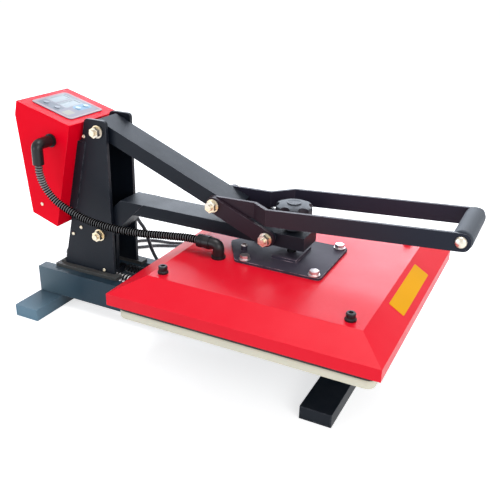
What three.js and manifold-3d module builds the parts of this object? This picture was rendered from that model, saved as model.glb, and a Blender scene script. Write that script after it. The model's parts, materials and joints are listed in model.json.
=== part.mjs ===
// Clamshell flat heat press: tube frame, column, toggle lever, heated cover and control box.
// Millimetres, +Z up, +X towards the handle. Pieces are built with x = 0 at the centre of the work area.
import * as THREE from 'three';
import { mergeVertices } from 'three/addons/utils/BufferGeometryUtils.js';
import Module from 'manifold-3d';

const wasm = await Module();
wasm.setup();

// Clearances
const seat = 0.3; // between pieces that rest on each other
const slack = 0.3; // round a shank in its hole

// Frame: two feet across, two rails along
const footWidth = 47;
const footHeight = 21;
const rearFootLength = 249.4;
const frontFootLength = 312.2;
const frameRear = -457.6;
const frameFront = 130.7;
const railWidth = 20.7;
const railHeight = 47;
const railGap = 80;
const tubeWall = 2;
const capRecess = 1;
const drainRadius = 3;

// Base plate and column
const basePlateThickness = 6;
const basePlateMargin = 6;
const basePlateFront = 11;
const gussetLength = 12;
const gussetHeight = 9;
const basePlateTail = 14;
const columnFront = -311;
const columnHeight = 264.4;
const columnTopLength = 40.4;
const columnBottomLength = 105;
const cheekThickness = 6;
const cheekGap = 59.6;
const columnCorner = 7;
const webDrop = 22;
const strapWidth = 9;
const strapThickness = 1.2;
const strapLow = 108;
const strapHigh = 226;

// Pivots
const armPivotX = -336;
const armPivotRise = 68.6;
const leverPivotX = -327;
const leverPivotRise = 246.2;
const linkPivotX = -30;
const linkPivotRise = 13.1;
const linkLength = 95.9;
const pivotRadius = 6;
const bossRadius = 11;

// Lower platen and pad
const bearerHeight = 26;
const bearerWidth = 30;
const bearerLength = 260;
const bearerSpacing = 220;
const lowerPlatenSize = 360;
const lowerPlatenThickness = 6;
const workSize = 380; // the pad and the heating plate over it
const padThickness = 13;
const padCorner = 12;
const padEdge = 2;

// Heated cover
const heatingPlateThickness = 16;
const coverLip = 10; // of the cover round the heating plate
const skirtLift = 9.6;
const skirtHeight = 17.8;
const bevelRise = 23.1;
const bevelFront = 38;
const bevelSide = 39;
const bevelRear = 45;
const coverWall = 1.5;
const insulationMargin = 6;

// Mounting plate and its fasteners
const mountThickness = 4;
const mountFront = 67;
const mountShoulder = -68;
const mountApex = -106;
const mountHalfWidth = 62;
const mountCorner = 8;
const plateBoltX = 55;
const plateBoltY = 54;
const boltRadius = 4;
const boltHeadRadius = 7.5;
const boltHeadHeight = 5.5;
const washerRadius = 9;
const washerThickness = 1.6;
const guideStudX = -71;
const guideStudY = 24;
const guideStudHeight = 10;
const plugInsetX = 50; // from the heating plate's edges
const plugInsetY = 46;
const plugHeight = 11;
const plugRadius = 8;

// Press arm and pressure adjustment
const armWidth = 50;
const armHeight = 21;
const armFront = 26;
const armClearance = 18;
const armWall = 2.5;
const legFront = 12.5; // from the pivot to the leg's front edge, square to the leg
const legRear = 18.7;
const legTail = 15;
const legProud = 1.2; // each side of the level tube
const lugThickness = 8;
const lugDrop = 83;
const lugRootHalf = 9;
const lugRootDrop = 4;
const lugBar = 12;
const lugBarWidth = 50;
const screwX = -2.5;
const screwRadius = 7;
const screwCollarRadius = 9.5;
const screwCollarHeight = 1.6;
const seatBlockLength = 40;
const seatBlockWidth = 60;
const seatBlockHeight = 4.5;
const nutRadius = 11.5;
const nutHeight = 6.4;
const knobRadius = 28.6;
const knobLobes = 6;
const knobScoopRadius = 9;
const knobScoopAt = 32.5;
const knobTurned = 22; // of its first scoop, in degrees
const knobHeight = 21;
const knobLift = 22;
const knobHubRadius = 15;
const knobHubGap = 3;

// Lever
const linkTubeHeight = 24;
const linkTubeTail = 14;
const linkTubeTip = 28;
const barHeight = 25;
const barThickness = 5.2;
const barTail = 11;
const barKnee = 67;
const barKneeRise = 2;
const barCrank = 30;
const barInner = 49.5;
const handleReach = 365.36;
const handleRise = 24.55;
const gripRadius = 14.2;
const gripBoltRadius = 8;
const gripBoltDepth = 12;
const linkPlateThickness = 5.5;
const linkPlateWidth = 25;
const barPlay = 0.5;

// Through-bolt heads
const hexRadius = 9;
const hexHeight = 8.5;
const bigWasherRadius = 10.4;
const bigWasherThickness = 2.4;
const threadStub = 4.5;

// Extension springs
const springCurls = 18;
const springPitch = 5.3;
const springRadius = 6.3;
const springWire = 1.5;
const springSpacing = 36;
const springLead = 5;
const anchorRadius = 6;

// Control box
const boxHalfWidth = 62;
const boxWall = 1.5;
const boxStandOff = 7;
const boxTopRise = 256.1;
const boxDepth = 108.45;
const boxTilt = 14.9;
const boxRearDrop = 188.7;
const boxRearInset = 10.2;
const boxFrontDrop = 177.5;
const boxCorner = 6;
const panelFront = 14;
const panelLength = 82;
const panelHalfWidth = 42;
const panelThickness = 1.2;
const panelCorner = 7;
const windowMargin = 4;
const displayDepth = 3.6;
const boardThickness = 1.6;
const buttonRadius = 4.5;
const buttonGap = 0.4;
const buttonStand = 1;
const buttonDepth = 2.4;
const switchLength = 19.2;
const switchWidth = 11.2;
const switchWall = 1;
const switchFlange = 3;
const switchX = -436;
const switchDrop = 85;
const rockerRest = 10;

// Conduit and mains cord
const hoseRadius = 6.5;
const hoseGroove = 5.5;
const hoseBore = 4;
const ribPitch = 4.3;
const elbowRadius = 9;
const elbowBend = 7;
const elbowFlange = 2;
const sleeveRadius = 10.4; // round the hose's end, with its grip rings
const sleeveLength = 20;
const sleeveRings = 3;
const elbowBack = 39.4; // from the top fold of the housing, and down from it
const elbowDown = 27.9;
const elbowOut = 33;
const elbowDrop = 31.6;
const platenElbowReach = 34;
const platenElbowRise = 21.5;
const cordRadius = 3.5;
const glandBack = 65;
const glandDown = 125.5;
const glandLength = 30;
const glandRings = 4;
const coilLoops = 5.75;
const coilPitch = 8;
const coilOuter = 46;
const coilX = -506;
const coilY = 136;
const plugBodyLength = 40;
const plugBodyWidth = 26;
const plugBodyHeight = 16;
const plugRear = -352;
const plugMiddle = 248;

// Heights that stack up from the floor
const railBottom = footHeight + seat;
const railTop = railBottom + railHeight;
const basePlateBottom = railTop + seat;
const basePlateTop = basePlateBottom + basePlateThickness;
const columnBottom = basePlateTop + seat;
const bearerBottom = railTop + seat;
const lowerPlatenBottom = bearerBottom + bearerHeight;
const padBottom = lowerPlatenBottom + lowerPlatenThickness + seat;
const padTop = padBottom + padThickness;
const heatBottom = padTop + seat;
const heatTop = heatBottom + heatingPlateThickness;
const skirtBottom = heatBottom + skirtLift;
const skirtTop = skirtBottom + skirtHeight;
const coverTop = skirtTop + bevelRise;
const mountBottom = coverTop + seat;
const mountTop = mountBottom + mountThickness;
const armBottom = mountTop + armClearance;
const armTop = armBottom + armHeight;

// Pivot places in the side view, as x and z
const armPivot = new THREE.Vector2(armPivotX, columnBottom + armPivotRise);
const leverPivot = new THREE.Vector2(leverPivotX, columnBottom + leverPivotRise);
const linkPivot = new THREE.Vector2(linkPivotX, armBottom + linkPivotRise);
const linkDirection = leverPivot.clone().sub(linkPivot).normalize();
const kneePivot = linkPivot.clone().addScaledVector(linkDirection, linkLength);
const gripPivot = new THREE.Vector2(kneePivot.x + handleReach, kneePivot.y + handleRise);

// Widths that stack up from the middle
const armHalf = armWidth / 2;
const cheekInner = cheekGap / 2;
const cheekOuter = cheekInner + cheekThickness;
const barRearInner = armHalf + seat;
const linkInner = barRearInner + barThickness + barPlay;
const linkOuter = linkInner + linkPlateThickness;
const railInner = railGap / 2;
const railOuter = railInner + railWidth;

const paint = (color, roughness, metalness = 0) =>
  new THREE.MeshStandardMaterial({ color, roughness, metalness });
const blackPowder = paint(0x23262c, 0.5, 0.2);
const redPowder = paint(0xe8273c, 0.4, 0.1);
const zinc = paint(0xcdbfa2, 0.3, 0.9);
const blackPlastic = paint(0x141416, 0.45);
const gripFoam = paint(0x2b2c30, 0.8);
const siliconeCream = paint(0xf0e6cf, 0.8);
const castAluminium = paint(0xa9abad, 0.45, 0.8);
const springSteel = paint(0xd8d8d6, 0.25, 0.95);
const fibreWhite = paint(0xe9e6dc, 0.95);
const panelGrey = paint(0x8f9aa6, 0.35);
const displayPale = paint(0xc9d6d3, 0.2);
const boardGreen = paint(0x1f5c3a, 0.6);
const buttonGrey = paint(0x7f8a94, 0.4);
const buttonBlue = paint(0xd4e2ee, 0.4);
const cordRubber = paint(0x101012, 0.6);

const press = new THREE.Group();

// Solids and how they are cut and joined
function solid(geometry) {
  const bare = geometry.clone();
  bare.deleteAttribute('normal');
  bare.deleteAttribute('uv');
  const merged = mergeVertices(bare, 1e-4);
  const vertProperties = Float32Array.from(merged.attributes.position.array);
  const triVerts = Uint32Array.from(merged.index.array);
  return new wasm.Manifold(new wasm.Mesh({ numProp: 3, vertProperties, triVerts }));
}

const join = (...pieces) => pieces.map(toSolid).reduce((whole, piece) => whole.add(piece));
const cut = (base, ...tools) => tools.reduce((whole, tool) => whole.subtract(toSolid(tool)), toSolid(base));

function toSolid(shape) {
  return shape.isBufferGeometry ? solid(shape) : shape;
}

function toGeometry(shape) {
  if (shape.isBufferGeometry) return shape;
  const mesh = shape.getMesh();
  const geometry = new THREE.BufferGeometry();
  geometry.setAttribute('position', new THREE.BufferAttribute(mesh.vertProperties, 3));
  geometry.setIndex(new THREE.BufferAttribute(mesh.triVerts, 1));
  geometry.computeVertexNormals();
  return geometry;
}

function add(name, shape, material, group = press) {
  const mesh = new THREE.Mesh(toGeometry(shape), material);
  mesh.name = name;
  group.add(mesh);
  return mesh;
}

// A box given by its two ends along each axis
function block([x0, x1], [y0, y1], [z0, z1]) {
  const box = new THREE.BoxGeometry(x1 - x0, y1 - y0, z1 - z0);
  return box.translate((x0 + x1) / 2, (y0 + y1) / 2, (z0 + z1) / 2);
}

// An outline whose corners are rounded by one radius, or by one radius each
function outline(corners, radius = 0) {
  const shape = new THREE.Shape();
  corners.forEach((corner, i) => {
    const here = new THREE.Vector2(...corner);
    const toLast = new THREE.Vector2(...corners.at(i - 1)).sub(here).normalize();
    const toNext = new THREE.Vector2(...corners[(i + 1) % corners.length]).sub(here).normalize();
    const r = Array.isArray(radius) ? radius[i] : radius;
    const back = r / Math.tan(Math.acos(toLast.dot(toNext)) / 2);
    const start = here.clone().addScaledVector(toLast, back);
    const end = here.clone().addScaledVector(toNext, back);
    if (i === 0) shape.moveTo(start.x, start.y);
    else shape.lineTo(start.x, start.y);
    if (r > 0) shape.quadraticCurveTo(here.x, here.y, end.x, end.y);
  });
  shape.closePath();
  return shape;
}

const rectangle = (halfX, halfY) => [[-halfX, -halfY], [halfX, -halfY], [halfX, halfY], [-halfX, halfY]];

// Every edge of a corner list moved inwards by one distance
function inset(corners, distance) {
  const points = corners.map((corner) => new THREE.Vector2(...corner));
  const turn = Math.sign(THREE.ShapeUtils.area(points));
  return points.map((here, i) => {
    const last = points.at(i - 1);
    const next = points[(i + 1) % points.length];
    const a = here.clone().sub(last).normalize();
    const b = next.clone().sub(here).normalize();
    const normalA = new THREE.Vector2(-a.y, a.x).multiplyScalar(turn);
    const normalB = new THREE.Vector2(-b.y, b.x).multiplyScalar(turn);
    const mid = normalA.clone().add(normalB);
    return here.clone().addScaledVector(mid, distance / (1 + normalA.dot(normalB))).toArray();
  });
}

// Plates: an x-y outline raised from z0 to z1, and an x-z outline spread from y0 to y1
function plateUp(shape, z0, z1, curveSegments = 4) {
  const plate = new THREE.ExtrudeGeometry(shape, { depth: z1 - z0, bevelEnabled: false, curveSegments });
  return plate.translate(0, 0, z0);
}

function plateAcross(shape, y0, y1, curveSegments = 4) {
  const plate = new THREE.ExtrudeGeometry(shape, { depth: y1 - y0, bevelEnabled: false, curveSegments });
  return plate.rotateX(Math.PI / 2).translate(0, y1, 0);
}

// Round pieces: a revolved profile about Z, a rod up Z and a rod across Y
function turned(profile, sides = 14) {
  const points = profile.map(([r, z]) => new THREE.Vector2(r, z));
  return new THREE.LatheGeometry(points, sides).rotateX(Math.PI / 2);
}

function rodUp(x, y, radius, z0, z1, sides = 14) {
  const rod = new THREE.CylinderGeometry(radius, radius, z1 - z0, sides).rotateX(Math.PI / 2);
  return rod.translate(x, y, (z0 + z1) / 2);
}

function rodAcross(at, radius, y0, y1, sides = 14) {
  const rod = new THREE.CylinderGeometry(radius, radius, y1 - y0, sides);
  return rod.translate(at.x, (y0 + y1) / 2, at.y);
}

const mirrorY = (geometry) => {
  const mirrored = geometry.clone().scale(1, -1, 1);
  const index = mirrored.index.array;
  for (let i = 0; i < index.length; i += 3) [index[i + 1], index[i + 2]] = [index[i + 2], index[i + 1]];
  mirrored.computeVertexNormals();
  return mirrored;
};

// A closed skin over rings of points: capped at both ends, or joined from the last ring to the first
function skin(rings, loop = false) {
  const sides = rings[0].length;
  const points = rings.flat();
  const faces = [];
  const quads = (a, b) => {
    for (let k = 0; k < sides; k += 1) {
      const next = (k + 1) % sides;
      faces.push([a * sides + k, b * sides + k, b * sides + next]);
      faces.push([a * sides + k, b * sides + next, a * sides + next]);
    }
  };
  for (let i = 0; i + 1 < rings.length; i += 1) quads(i, i + 1);
  if (loop) quads(rings.length - 1, 0);
  else {
    const last = (rings.length - 1) * sides;
    for (let k = 1; k + 1 < sides; k += 1) {
      faces.push([0, k, k + 1], [last, last + k + 1, last + k]);
    }
  }
  const corner = ([a, b, c]) => points[a].dot(points[b].clone().cross(points[c]));
  const volume = faces.reduce((sum, face) => sum + corner(face), 0);
  const wound = volume > 0 ? faces : faces.map(([a, b, c]) => [a, c, b]);
  const geometry = new THREE.BufferGeometry().setFromPoints(points);
  geometry.setIndex(wound.flat());
  geometry.computeVertexNormals();
  return geometry;
}

// Cross frames along a list of points, each carried on from the one before
function frames(points, firstNormal) {
  let normal = firstNormal.clone();
  return points.map((point, i) => {
    const before = points[Math.max(i - 1, 0)];
    const after = points[Math.min(i + 1, points.length - 1)];
    const tangent = after.clone().sub(before).normalize();
    normal = normal.clone().addScaledVector(tangent, -normal.dot(tangent)).normalize();
    return { point, normal, side: tangent.clone().cross(normal) };
  });
}

function ring({ point, normal, side }, radius, sides) {
  return Array.from({ length: sides }, (_, k) => {
    const angle = (k / sides) * 2 * Math.PI;
    return point.clone().addScaledVector(normal, radius * Math.cos(angle))
      .addScaledVector(side, radius * Math.sin(angle));
  });
}

function woundTube(points, radius, sides, firstNormal) {
  return skin(frames(points, firstNormal).map((frame) => ring(frame, radius, sides)));
}

// The least gap between turns of a wound tube, measured on its points past one turn's neighbours
function leastGap(points, radius, stepsApart) {
  let least = Infinity;
  for (let i = 0; i < points.length; i += 1) {
    for (let j = i + stepsApart; j < points.length; j += 1) {
      least = Math.min(least, points[i].distanceTo(points[j]));
    }
  }
  return least - 2 * radius;
}

// A round cord along a smooth route through chosen points
function cordAlong(route, radius, sides, steps) {
  const places = route.map((place) => new THREE.Vector3(...place));
  const extrudePath = new THREE.CatmullRomCurve3(places, false, 'centripetal');
  const section = new THREE.Shape(Array.from({ length: sides }, (_, k) => {
    const angle = (k / sides) * 2 * Math.PI;
    return new THREE.Vector2(radius * Math.cos(angle), radius * Math.sin(angle));
  }));
  return new THREE.ExtrudeGeometry(section, { steps, extrudePath, bevelEnabled: false });
}

// A right-angled pipe elbow with a rounded bend
function elbow(start, corner, end, radius, bend) {
  const [a, c, b] = [start, corner, end].map((place) => new THREE.Vector3(...place));
  const bendIn = c.clone().addScaledVector(a.clone().sub(c).normalize(), bend);
  const bendOut = c.clone().addScaledVector(b.clone().sub(c).normalize(), bend);
  const curve = new THREE.QuadraticBezierCurve3(bendIn, c, bendOut);
  const points = [a, ...curve.getPoints(4), b];
  return woundTube(points, radius, 10, new THREE.Vector3(1, 1, 1).cross(b.clone().sub(c)).normalize());
}

// A hexagon head on its washer, built along +Z from z = 0, with its thread end standing out
function hexHead(radius, height, washer, washerDepth, threadRadius, stub) {
  return join(
    rodUp(0, 0, washer, 0, washerDepth),
    new THREE.CylinderGeometry(radius, radius, height, 6).rotateX(Math.PI / 2)
      .translate(0, 0, washerDepth + height / 2),
    rodUp(0, 0, threadRadius, washerDepth, washerDepth + height + stub, 10),
  );
}

const throughHead = () => toGeometry(
  hexHead(hexRadius, hexHeight, bigWasherRadius, bigWasherThickness, pivotRadius - 1, threadStub),
);

// Heads that face -Y and +Y at a pivot, with their washers at the given distance from the middle
const headNear = (at, from) => throughHead().rotateX(Math.PI / 2).translate(at.x, -from, at.y);
const headFar = (at, from) => throughHead().rotateX(-Math.PI / 2).translate(at.x, from, at.y);

function throughBolt(at, from) {
  return join(rodAcross(at, pivotRadius, -from, from), headNear(at, from), headFar(at, from));
}

const boltHole = (at, half) => rodAcross(at, pivotRadius + slack, -half, half);

// Frame
function crossFoot(xRear, length) {
  const x = [xRear, xRear + footWidth];
  const y = length / 2;
  const hollow = block(
    [x[0] + tubeWall, x[1] - tubeWall],
    [-y + tubeWall + capRecess, y - tubeWall - capRecess],
    [tubeWall, footHeight - tubeWall],
  );
  const mouth = (side) => block(
    [x[0] + tubeWall, x[1] - tubeWall],
    side < 0 ? [-y - 1, -y + capRecess] : [y - capRecess, y + 1],
    [tubeWall, footHeight - tubeWall],
  );
  const drain = rodUp(xRear + footWidth / 2, 0, drainRadius, -1, footHeight / 2, 8);
  return cut(block(x, [-y, y], [0, footHeight]), hollow, mouth(-1), mouth(1), drain);
}

function rail(side) {
  const y = side < 0 ? [-railOuter, -railInner] : [railInner, railOuter];
  const bore = [[y[0] + tubeWall, y[1] - tubeWall], [railBottom + tubeWall, railTop - tubeWall]];
  const hollow = block([frameRear + tubeWall + capRecess, frameFront - tubeWall - capRecess], ...bore);
  const rearMouth = block([frameRear - 1, frameRear + capRecess], ...bore);
  const frontMouth = block([frameFront - capRecess, frameFront + 1], ...bore);
  const [middleX, middleY] = [(frameRear + frameFront) / 2, (y[0] + y[1]) / 2];
  const drain = rodUp(middleX, middleY, drainRadius, railBottom - 1, railTop / 2, 8);
  const tube = block([frameRear, frameFront], y, [railBottom, railTop]);
  return cut(tube, hollow, rearMouth, frontMouth, drain);
}

add('rear_foot', crossFoot(frameRear, rearFootLength), blackPowder);
add('front_foot', crossFoot(frameFront - footWidth, frontFootLength), blackPowder);
add('rail_near', rail(-1), blackPowder);
add('rail_far', rail(1), blackPowder);

// Base plate: a slot lets the arm's lug swing, two gussets stand behind the column
const columnRearBottom = columnFront - columnBottomLength;
const slotHalf = cheekInner;
const slotRear = armPivotX - lugBar - legTail;

function basePlate() {
  const rear = columnRearBottom - basePlateTail;
  const front = columnFront + basePlateFront;
  const half = railInner + basePlateMargin;
  const shape = outline([
    [rear, -half], [front, -half], [front, -slotHalf], [slotRear, -slotHalf],
    [slotRear, slotHalf], [front, slotHalf], [front, half], [rear, half],
  ]);
  const gusset = outline([
    [columnRearBottom - gussetLength, basePlateTop - 1],
    [columnRearBottom - seat, basePlateTop - 1],
    [columnRearBottom - seat, basePlateTop + gussetHeight],
  ]);
  return join(
    plateUp(shape, basePlateBottom, basePlateTop),
    plateAcross(gusset, -cheekOuter, -cheekInner),
    plateAcross(gusset, cheekInner, cheekOuter),
  );
}

add('base_plate', basePlate(), blackPowder);

// Column: two tapered cheeks, a web down the rear edge, and a strap that carries the control box
const columnTop = columnBottom + columnHeight;
const columnLean = (columnBottomLength - columnTopLength) / columnHeight;
const columnRearAt = (z) => columnRearBottom + columnLean * (z - columnBottom);

// A strip that follows the rear edge, from one depth to another in front of it
function rearStrip(fromDepth, toDepth, low, high) {
  return outline([
    [columnRearAt(low) + fromDepth, low], [columnRearAt(low) + toDepth, low],
    [columnRearAt(high) + toDepth, high], [columnRearAt(high) + fromDepth, high],
  ]);
}

function column() {
  const profile = outline([
    [columnRearBottom, columnBottom], [columnFront, columnBottom],
    [columnFront, columnTop], [columnFront - columnTopLength, columnTop],
  ], [0, 0, columnCorner, columnCorner]);
  const low = columnBottom + strapLow;
  const high = columnBottom + strapHigh;
  const strap = rearStrip(0, strapWidth, low, high);
  const spacer = rearStrip(seat - boxStandOff, 1, low, high);
  const web = rearStrip(0, cheekThickness, columnBottom, columnTop - webDrop);
  return cut(
    join(
      plateAcross(profile, -cheekOuter, -cheekInner),
      plateAcross(profile, cheekInner, cheekOuter),
      plateAcross(web, -cheekInner - 1, cheekInner + 1),
      plateAcross(strap, -cheekOuter - strapThickness, -cheekOuter + 1),
      plateAcross(strap, cheekOuter - 1, cheekOuter + strapThickness),
      plateAcross(spacer, -cheekOuter - strapThickness, cheekOuter + strapThickness),
    ),
    boltHole(armPivot, cheekOuter + 5),
    boltHole(leverPivot, cheekOuter + 5),
  );
}

add('column', column(), blackPowder);
add('pivot_bolt_a', throughBolt(armPivot, cheekOuter + seat), zinc);
add('pivot_bolt_b', throughBolt(leverPivot, cheekOuter + seat), zinc);

// Lower platen on its two bearers, with the pad on top
function lowerPlaten() {
  const half = lowerPlatenSize / 2;
  const [wide, long] = [bearerWidth / 2, bearerLength / 2];
  const bearer = (x) => cut(
    block([x - wide, x + wide], [-long, long], [bearerBottom, lowerPlatenBottom + 1]),
    block(
      [x - wide + tubeWall, x + wide - tubeWall],
      [-long - 1, long + 1],
      [bearerBottom + tubeWall, lowerPlatenBottom - tubeWall],
    ),
  );
  const top = lowerPlatenBottom + lowerPlatenThickness;
  return join(
    plateUp(outline(rectangle(half, half), padCorner), lowerPlatenBottom, top),
    bearer(-bearerSpacing / 2),
    bearer(bearerSpacing / 2),
  );
}

function pad() {
  const half = workSize / 2 - padEdge;
  const cushion = new THREE.ExtrudeGeometry(outline(rectangle(half, half), padCorner), {
    depth: padThickness - 2 * padEdge,
    bevelThickness: padEdge,
    bevelSize: padEdge,
    bevelSegments: 2,
    curveSegments: 5,
  });
  return cushion.translate(0, 0, padBottom + padEdge);
}

add('lower_platen', lowerPlaten(), blackPowder);
add('silicone_pad', pad(), siliconeCream);

// Heated cover: a hipped shell over the insulation and the heating plate
function hipped(levels) {
  const rings = levels.map(([x0, x1, y, z]) => [
    new THREE.Vector3(x0, -y, z), new THREE.Vector3(x1, -y, z),
    new THREE.Vector3(x1, y, z), new THREE.Vector3(x0, y, z),
  ]);
  return skin(rings);
}

const coverHalf = workSize / 2 + coverLip;
const plugX = workSize / 2 - plugInsetX;
const plugY = workSize / 2 - plugInsetY;
const boltPlaces = [[-1, -1], [1, -1], [1, 1], [-1, 1]].map(([i, j]) => [i * plateBoltX, j * plateBoltY]);
const plugPlaces = [[-1, -1], [1, -1], [1, 1], [-1, 1]].map(([i, j]) => [i * plugX, j * plugY]);
const elbowPlace = [-96, -60];
const shankHoles = (z0, z1) => [...boltPlaces, ...plugPlaces]
  .map(([x, y]) => rodUp(x, y, boltRadius + slack, z0, z1, 10));

function platenCover() {
  const w = coverWall;
  const [rear, front, side] = [-coverHalf + bevelRear, coverHalf - bevelFront, coverHalf - bevelSide];
  const outer = hipped([
    [-coverHalf, coverHalf, coverHalf, skirtBottom],
    [-coverHalf, coverHalf, coverHalf, skirtTop],
    [rear, front, side, coverTop],
  ]);
  const inner = hipped([
    [-coverHalf + w, coverHalf - w, coverHalf - w, skirtBottom - 1],
    [-coverHalf + w, coverHalf - w, coverHalf - w, skirtTop - w / 2],
    [rear + w / 2, front - w / 2, side - w / 2, coverTop - w],
  ]);
  const conduitHole = rodUp(...elbowPlace, elbowRadius - 3 + slack, coverTop - 5, coverTop + 5);
  return cut(outer, inner, conduitHole, ...shankHoles(coverTop - 5, coverTop + 5));
}

function insulation() {
  const rear = -coverHalf + bevelRear + insulationMargin;
  const front = coverHalf - bevelFront - insulationMargin;
  const side = coverHalf - bevelSide - insulationMargin;
  const slab = block([rear, front], [-side, side], [heatTop + seat, coverTop - coverWall - seat]);
  const conduitHole = rodUp(...elbowPlace, elbowRadius - 3 + slack, heatTop - 5, coverTop);
  return cut(slab, conduitHole, ...shankHoles(heatTop - 5, coverTop));
}

const threadDepth = 8;

function heatingPlate() {
  const half = workSize / 2;
  const plate = plateUp(outline(rectangle(half, half), padCorner), heatBottom, heatTop);
  return cut(plate, ...shankHoles(heatTop - threadDepth - seat, heatTop + 5));
}

add('platen_cover', platenCover(), redPowder);
add('insulation', insulation(), fibreWhite);
add('heating_plate', heatingPlate(), castAluminium);

// Mounting plate with two guide studs and the block that holds the screw's collar
const seatBlockTop = mountTop + seatBlockHeight;

function mountingPlate() {
  const shape = outline([
    [mountFront, -mountHalfWidth], [mountFront, mountHalfWidth], [mountShoulder, mountHalfWidth],
    [mountApex, 0], [mountShoulder, -mountHalfWidth],
  ], mountCorner);
  const stud = (y) => turned([
    [0, mountTop - 1], [5, mountTop - 1], [5, mountTop + guideStudHeight - 2],
    [3.5, mountTop + guideStudHeight], [0, mountTop + guideStudHeight],
  ], 12).translate(guideStudX, y, 0);
  const holder = block(
    [screwX - seatBlockLength / 2, screwX + seatBlockLength / 2],
    [-seatBlockWidth / 2, seatBlockWidth / 2],
    [mountTop - 1, seatBlockTop],
  );
  const collarRoom = mountTop + screwCollarHeight + 2 * seat;
  return cut(
    join(plateUp(shape, mountBottom, mountTop), holder, stud(-guideStudY), stud(guideStudY)),
    rodUp(screwX, 0, screwCollarRadius + slack, mountTop, collarRoom),
    rodUp(screwX, 0, screwRadius + slack, collarRoom - 1, seatBlockTop + 1),
    ...boltPlaces.map(([x, y]) => rodUp(x, y, boltRadius + slack, mountBottom - 1, mountTop + 1, 10)),
  );
}

add('mounting_plate', mountingPlate(), blackPowder);

boltPlaces.forEach(([x, y], i) => {
  const shankEnd = heatTop - threadDepth - (mountTop + seat);
  const head = hexHead(boltHeadRadius, boltHeadHeight, washerRadius, washerThickness, boltRadius, 0);
  const bolt = join(head, rodUp(0, 0, boltRadius, shankEnd, 1, 10));
  add(`plate_bolt_${i + 1}`, bolt, zinc).position.set(x, y, mountTop + seat);
});

plugPlaces.forEach(([x, y], i) => {
  const shankEnd = heatTop - threadDepth - (coverTop + seat);
  const cap = turned([
    [0, shankEnd], [boltRadius, shankEnd], [boltRadius, 0], [plugRadius, 0], [plugRadius, 2.5],
    [plugRadius - 1.6, 4], [plugRadius - 1.2, plugHeight - 1.5], [plugRadius - 2.2, plugHeight],
    [plugRadius - 4.4, plugHeight], [plugRadius - 4.8, plugHeight - 2], [0, plugHeight - 2],
  ], 10);
  add(`cover_plug_${i + 1}`, solid(cap), blackPlastic).position.set(x, y, coverTop + seat);
});

// Press arm: a level tube let into a leg that drops at 45 degrees to the pivot, and the spring lug below it
const barZ = armPivot.y - lugDrop;

function pressArm() {
  const tail = legTail * Math.SQRT1_2;
  const legLine = (across) => {
    const rise = armPivot.y - armPivot.x + across * Math.SQRT2;
    const endX = armPivot.x - tail - across * Math.SQRT1_2;
    return { end: [endX, endX + rise], at: (z) => [z - rise, z] };
  };
  const [front, rear] = [legLine(-legFront), legLine(legRear)];
  const profile = [
    [armFront, armBottom], [armFront, armTop], rear.at(armTop), rear.end, front.end, front.at(armBottom),
  ];
  const leg = outline([front.at(armTop), rear.at(armTop), rear.end, front.end]);
  const lugTop = armPivot.y - lugRootDrop;
  const lug = outline([
    [armPivot.x - lugRootHalf, lugTop], [armPivot.x - lugBar / 2, barZ - lugBar / 2],
    [armPivot.x + lugBar / 2, barZ - lugBar / 2], [armPivot.x + lugRootHalf, lugTop],
  ]);
  const bar = block(
    [armPivot.x - lugBar / 2, armPivot.x + lugBar / 2],
    [-lugBarWidth / 2, lugBarWidth / 2],
    [barZ - lugBar / 2, barZ + lugBar / 2],
  );
  const hub = cheekInner - seat;
  return cut(
    join(
      cut(
        join(
          plateAcross(outline(profile), -armHalf, armHalf),
          plateAcross(leg, -armHalf - legProud, armHalf + legProud),
        ),
        plateAcross(outline(inset(profile, armWall)), -armHalf + armWall, armHalf - armWall),
      ),
      plateAcross(lug, -lugThickness / 2, lugThickness / 2),
      bar,
      rodAcross(armPivot, bossRadius, -hub, -armHalf + 1),
      rodAcross(armPivot, bossRadius, armHalf - 1, hub),
      rodAcross(linkPivot, bossRadius, -linkInner + seat, -armHalf + 1),
      rodAcross(linkPivot, bossRadius, armHalf - 1, linkInner - seat),
    ),
    boltHole(armPivot, cheekOuter),
    boltHole(linkPivot, linkOuter),
    rodUp(screwX, 0, screwRadius + slack, armBottom - 1, armTop + 1),
  );
}

add('press_arm', pressArm(), blackPowder);
add('pivot_bolt_d', throughBolt(linkPivot, linkOuter + seat), zinc);

// Pressure screw, its nut under the arm and the star knob
const nutTop = armBottom - seat;
const knobBottom = armTop + knobLift;

function pressureNut() {
  const nut = new THREE.CylinderGeometry(nutRadius, nutRadius, nutHeight, 6).rotateX(Math.PI / 2);
  return cut(
    nut.translate(screwX, 0, nutTop - nutHeight / 2),
    rodUp(screwX, 0, screwRadius + slack, nutTop - nutHeight - 1, nutTop + 1),
  );
}

const screwBottom = mountTop + seat;
const screwTop = knobBottom + knobHeight - 9;
add('pressure_nut', pressureNut(), blackPowder);
add('pressure_screw', join(
  rodUp(screwX, 0, screwRadius, screwBottom, screwTop),
  rodUp(screwX, 0, screwCollarRadius, screwBottom, screwBottom + screwCollarHeight),
), zinc);

function starKnob() {
  const top = knobBottom + knobHeight;
  const crown = turned([
    [0, knobBottom], [knobRadius - 2, knobBottom], [knobRadius, knobBottom + 2], [knobRadius, top - 6.5],
    [knobRadius - 1.6, top - 3.8], [knobRadius - 7, top - 1.8], [0, top],
  ], 30).translate(screwX, 0, 0);
  const scoops = Array.from({ length: knobLobes }, (_, k) => {
    const angle = THREE.MathUtils.degToRad(knobTurned + (k / knobLobes) * 360);
    const [x, y] = [screwX + knobScoopAt * Math.cos(angle), knobScoopAt * Math.sin(angle)];
    return rodUp(x, y, knobScoopRadius, knobBottom - 1, top + 1, 12);
  });
  return cut(
    join(cut(crown, ...scoops), rodUp(screwX, 0, knobHubRadius, armTop + knobHubGap, knobBottom + 3)),
    rodUp(screwX, 0, screwRadius + slack, armTop, screwTop + seat),
  );
}

add('star_knob', starKnob(), blackPlastic);

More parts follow.
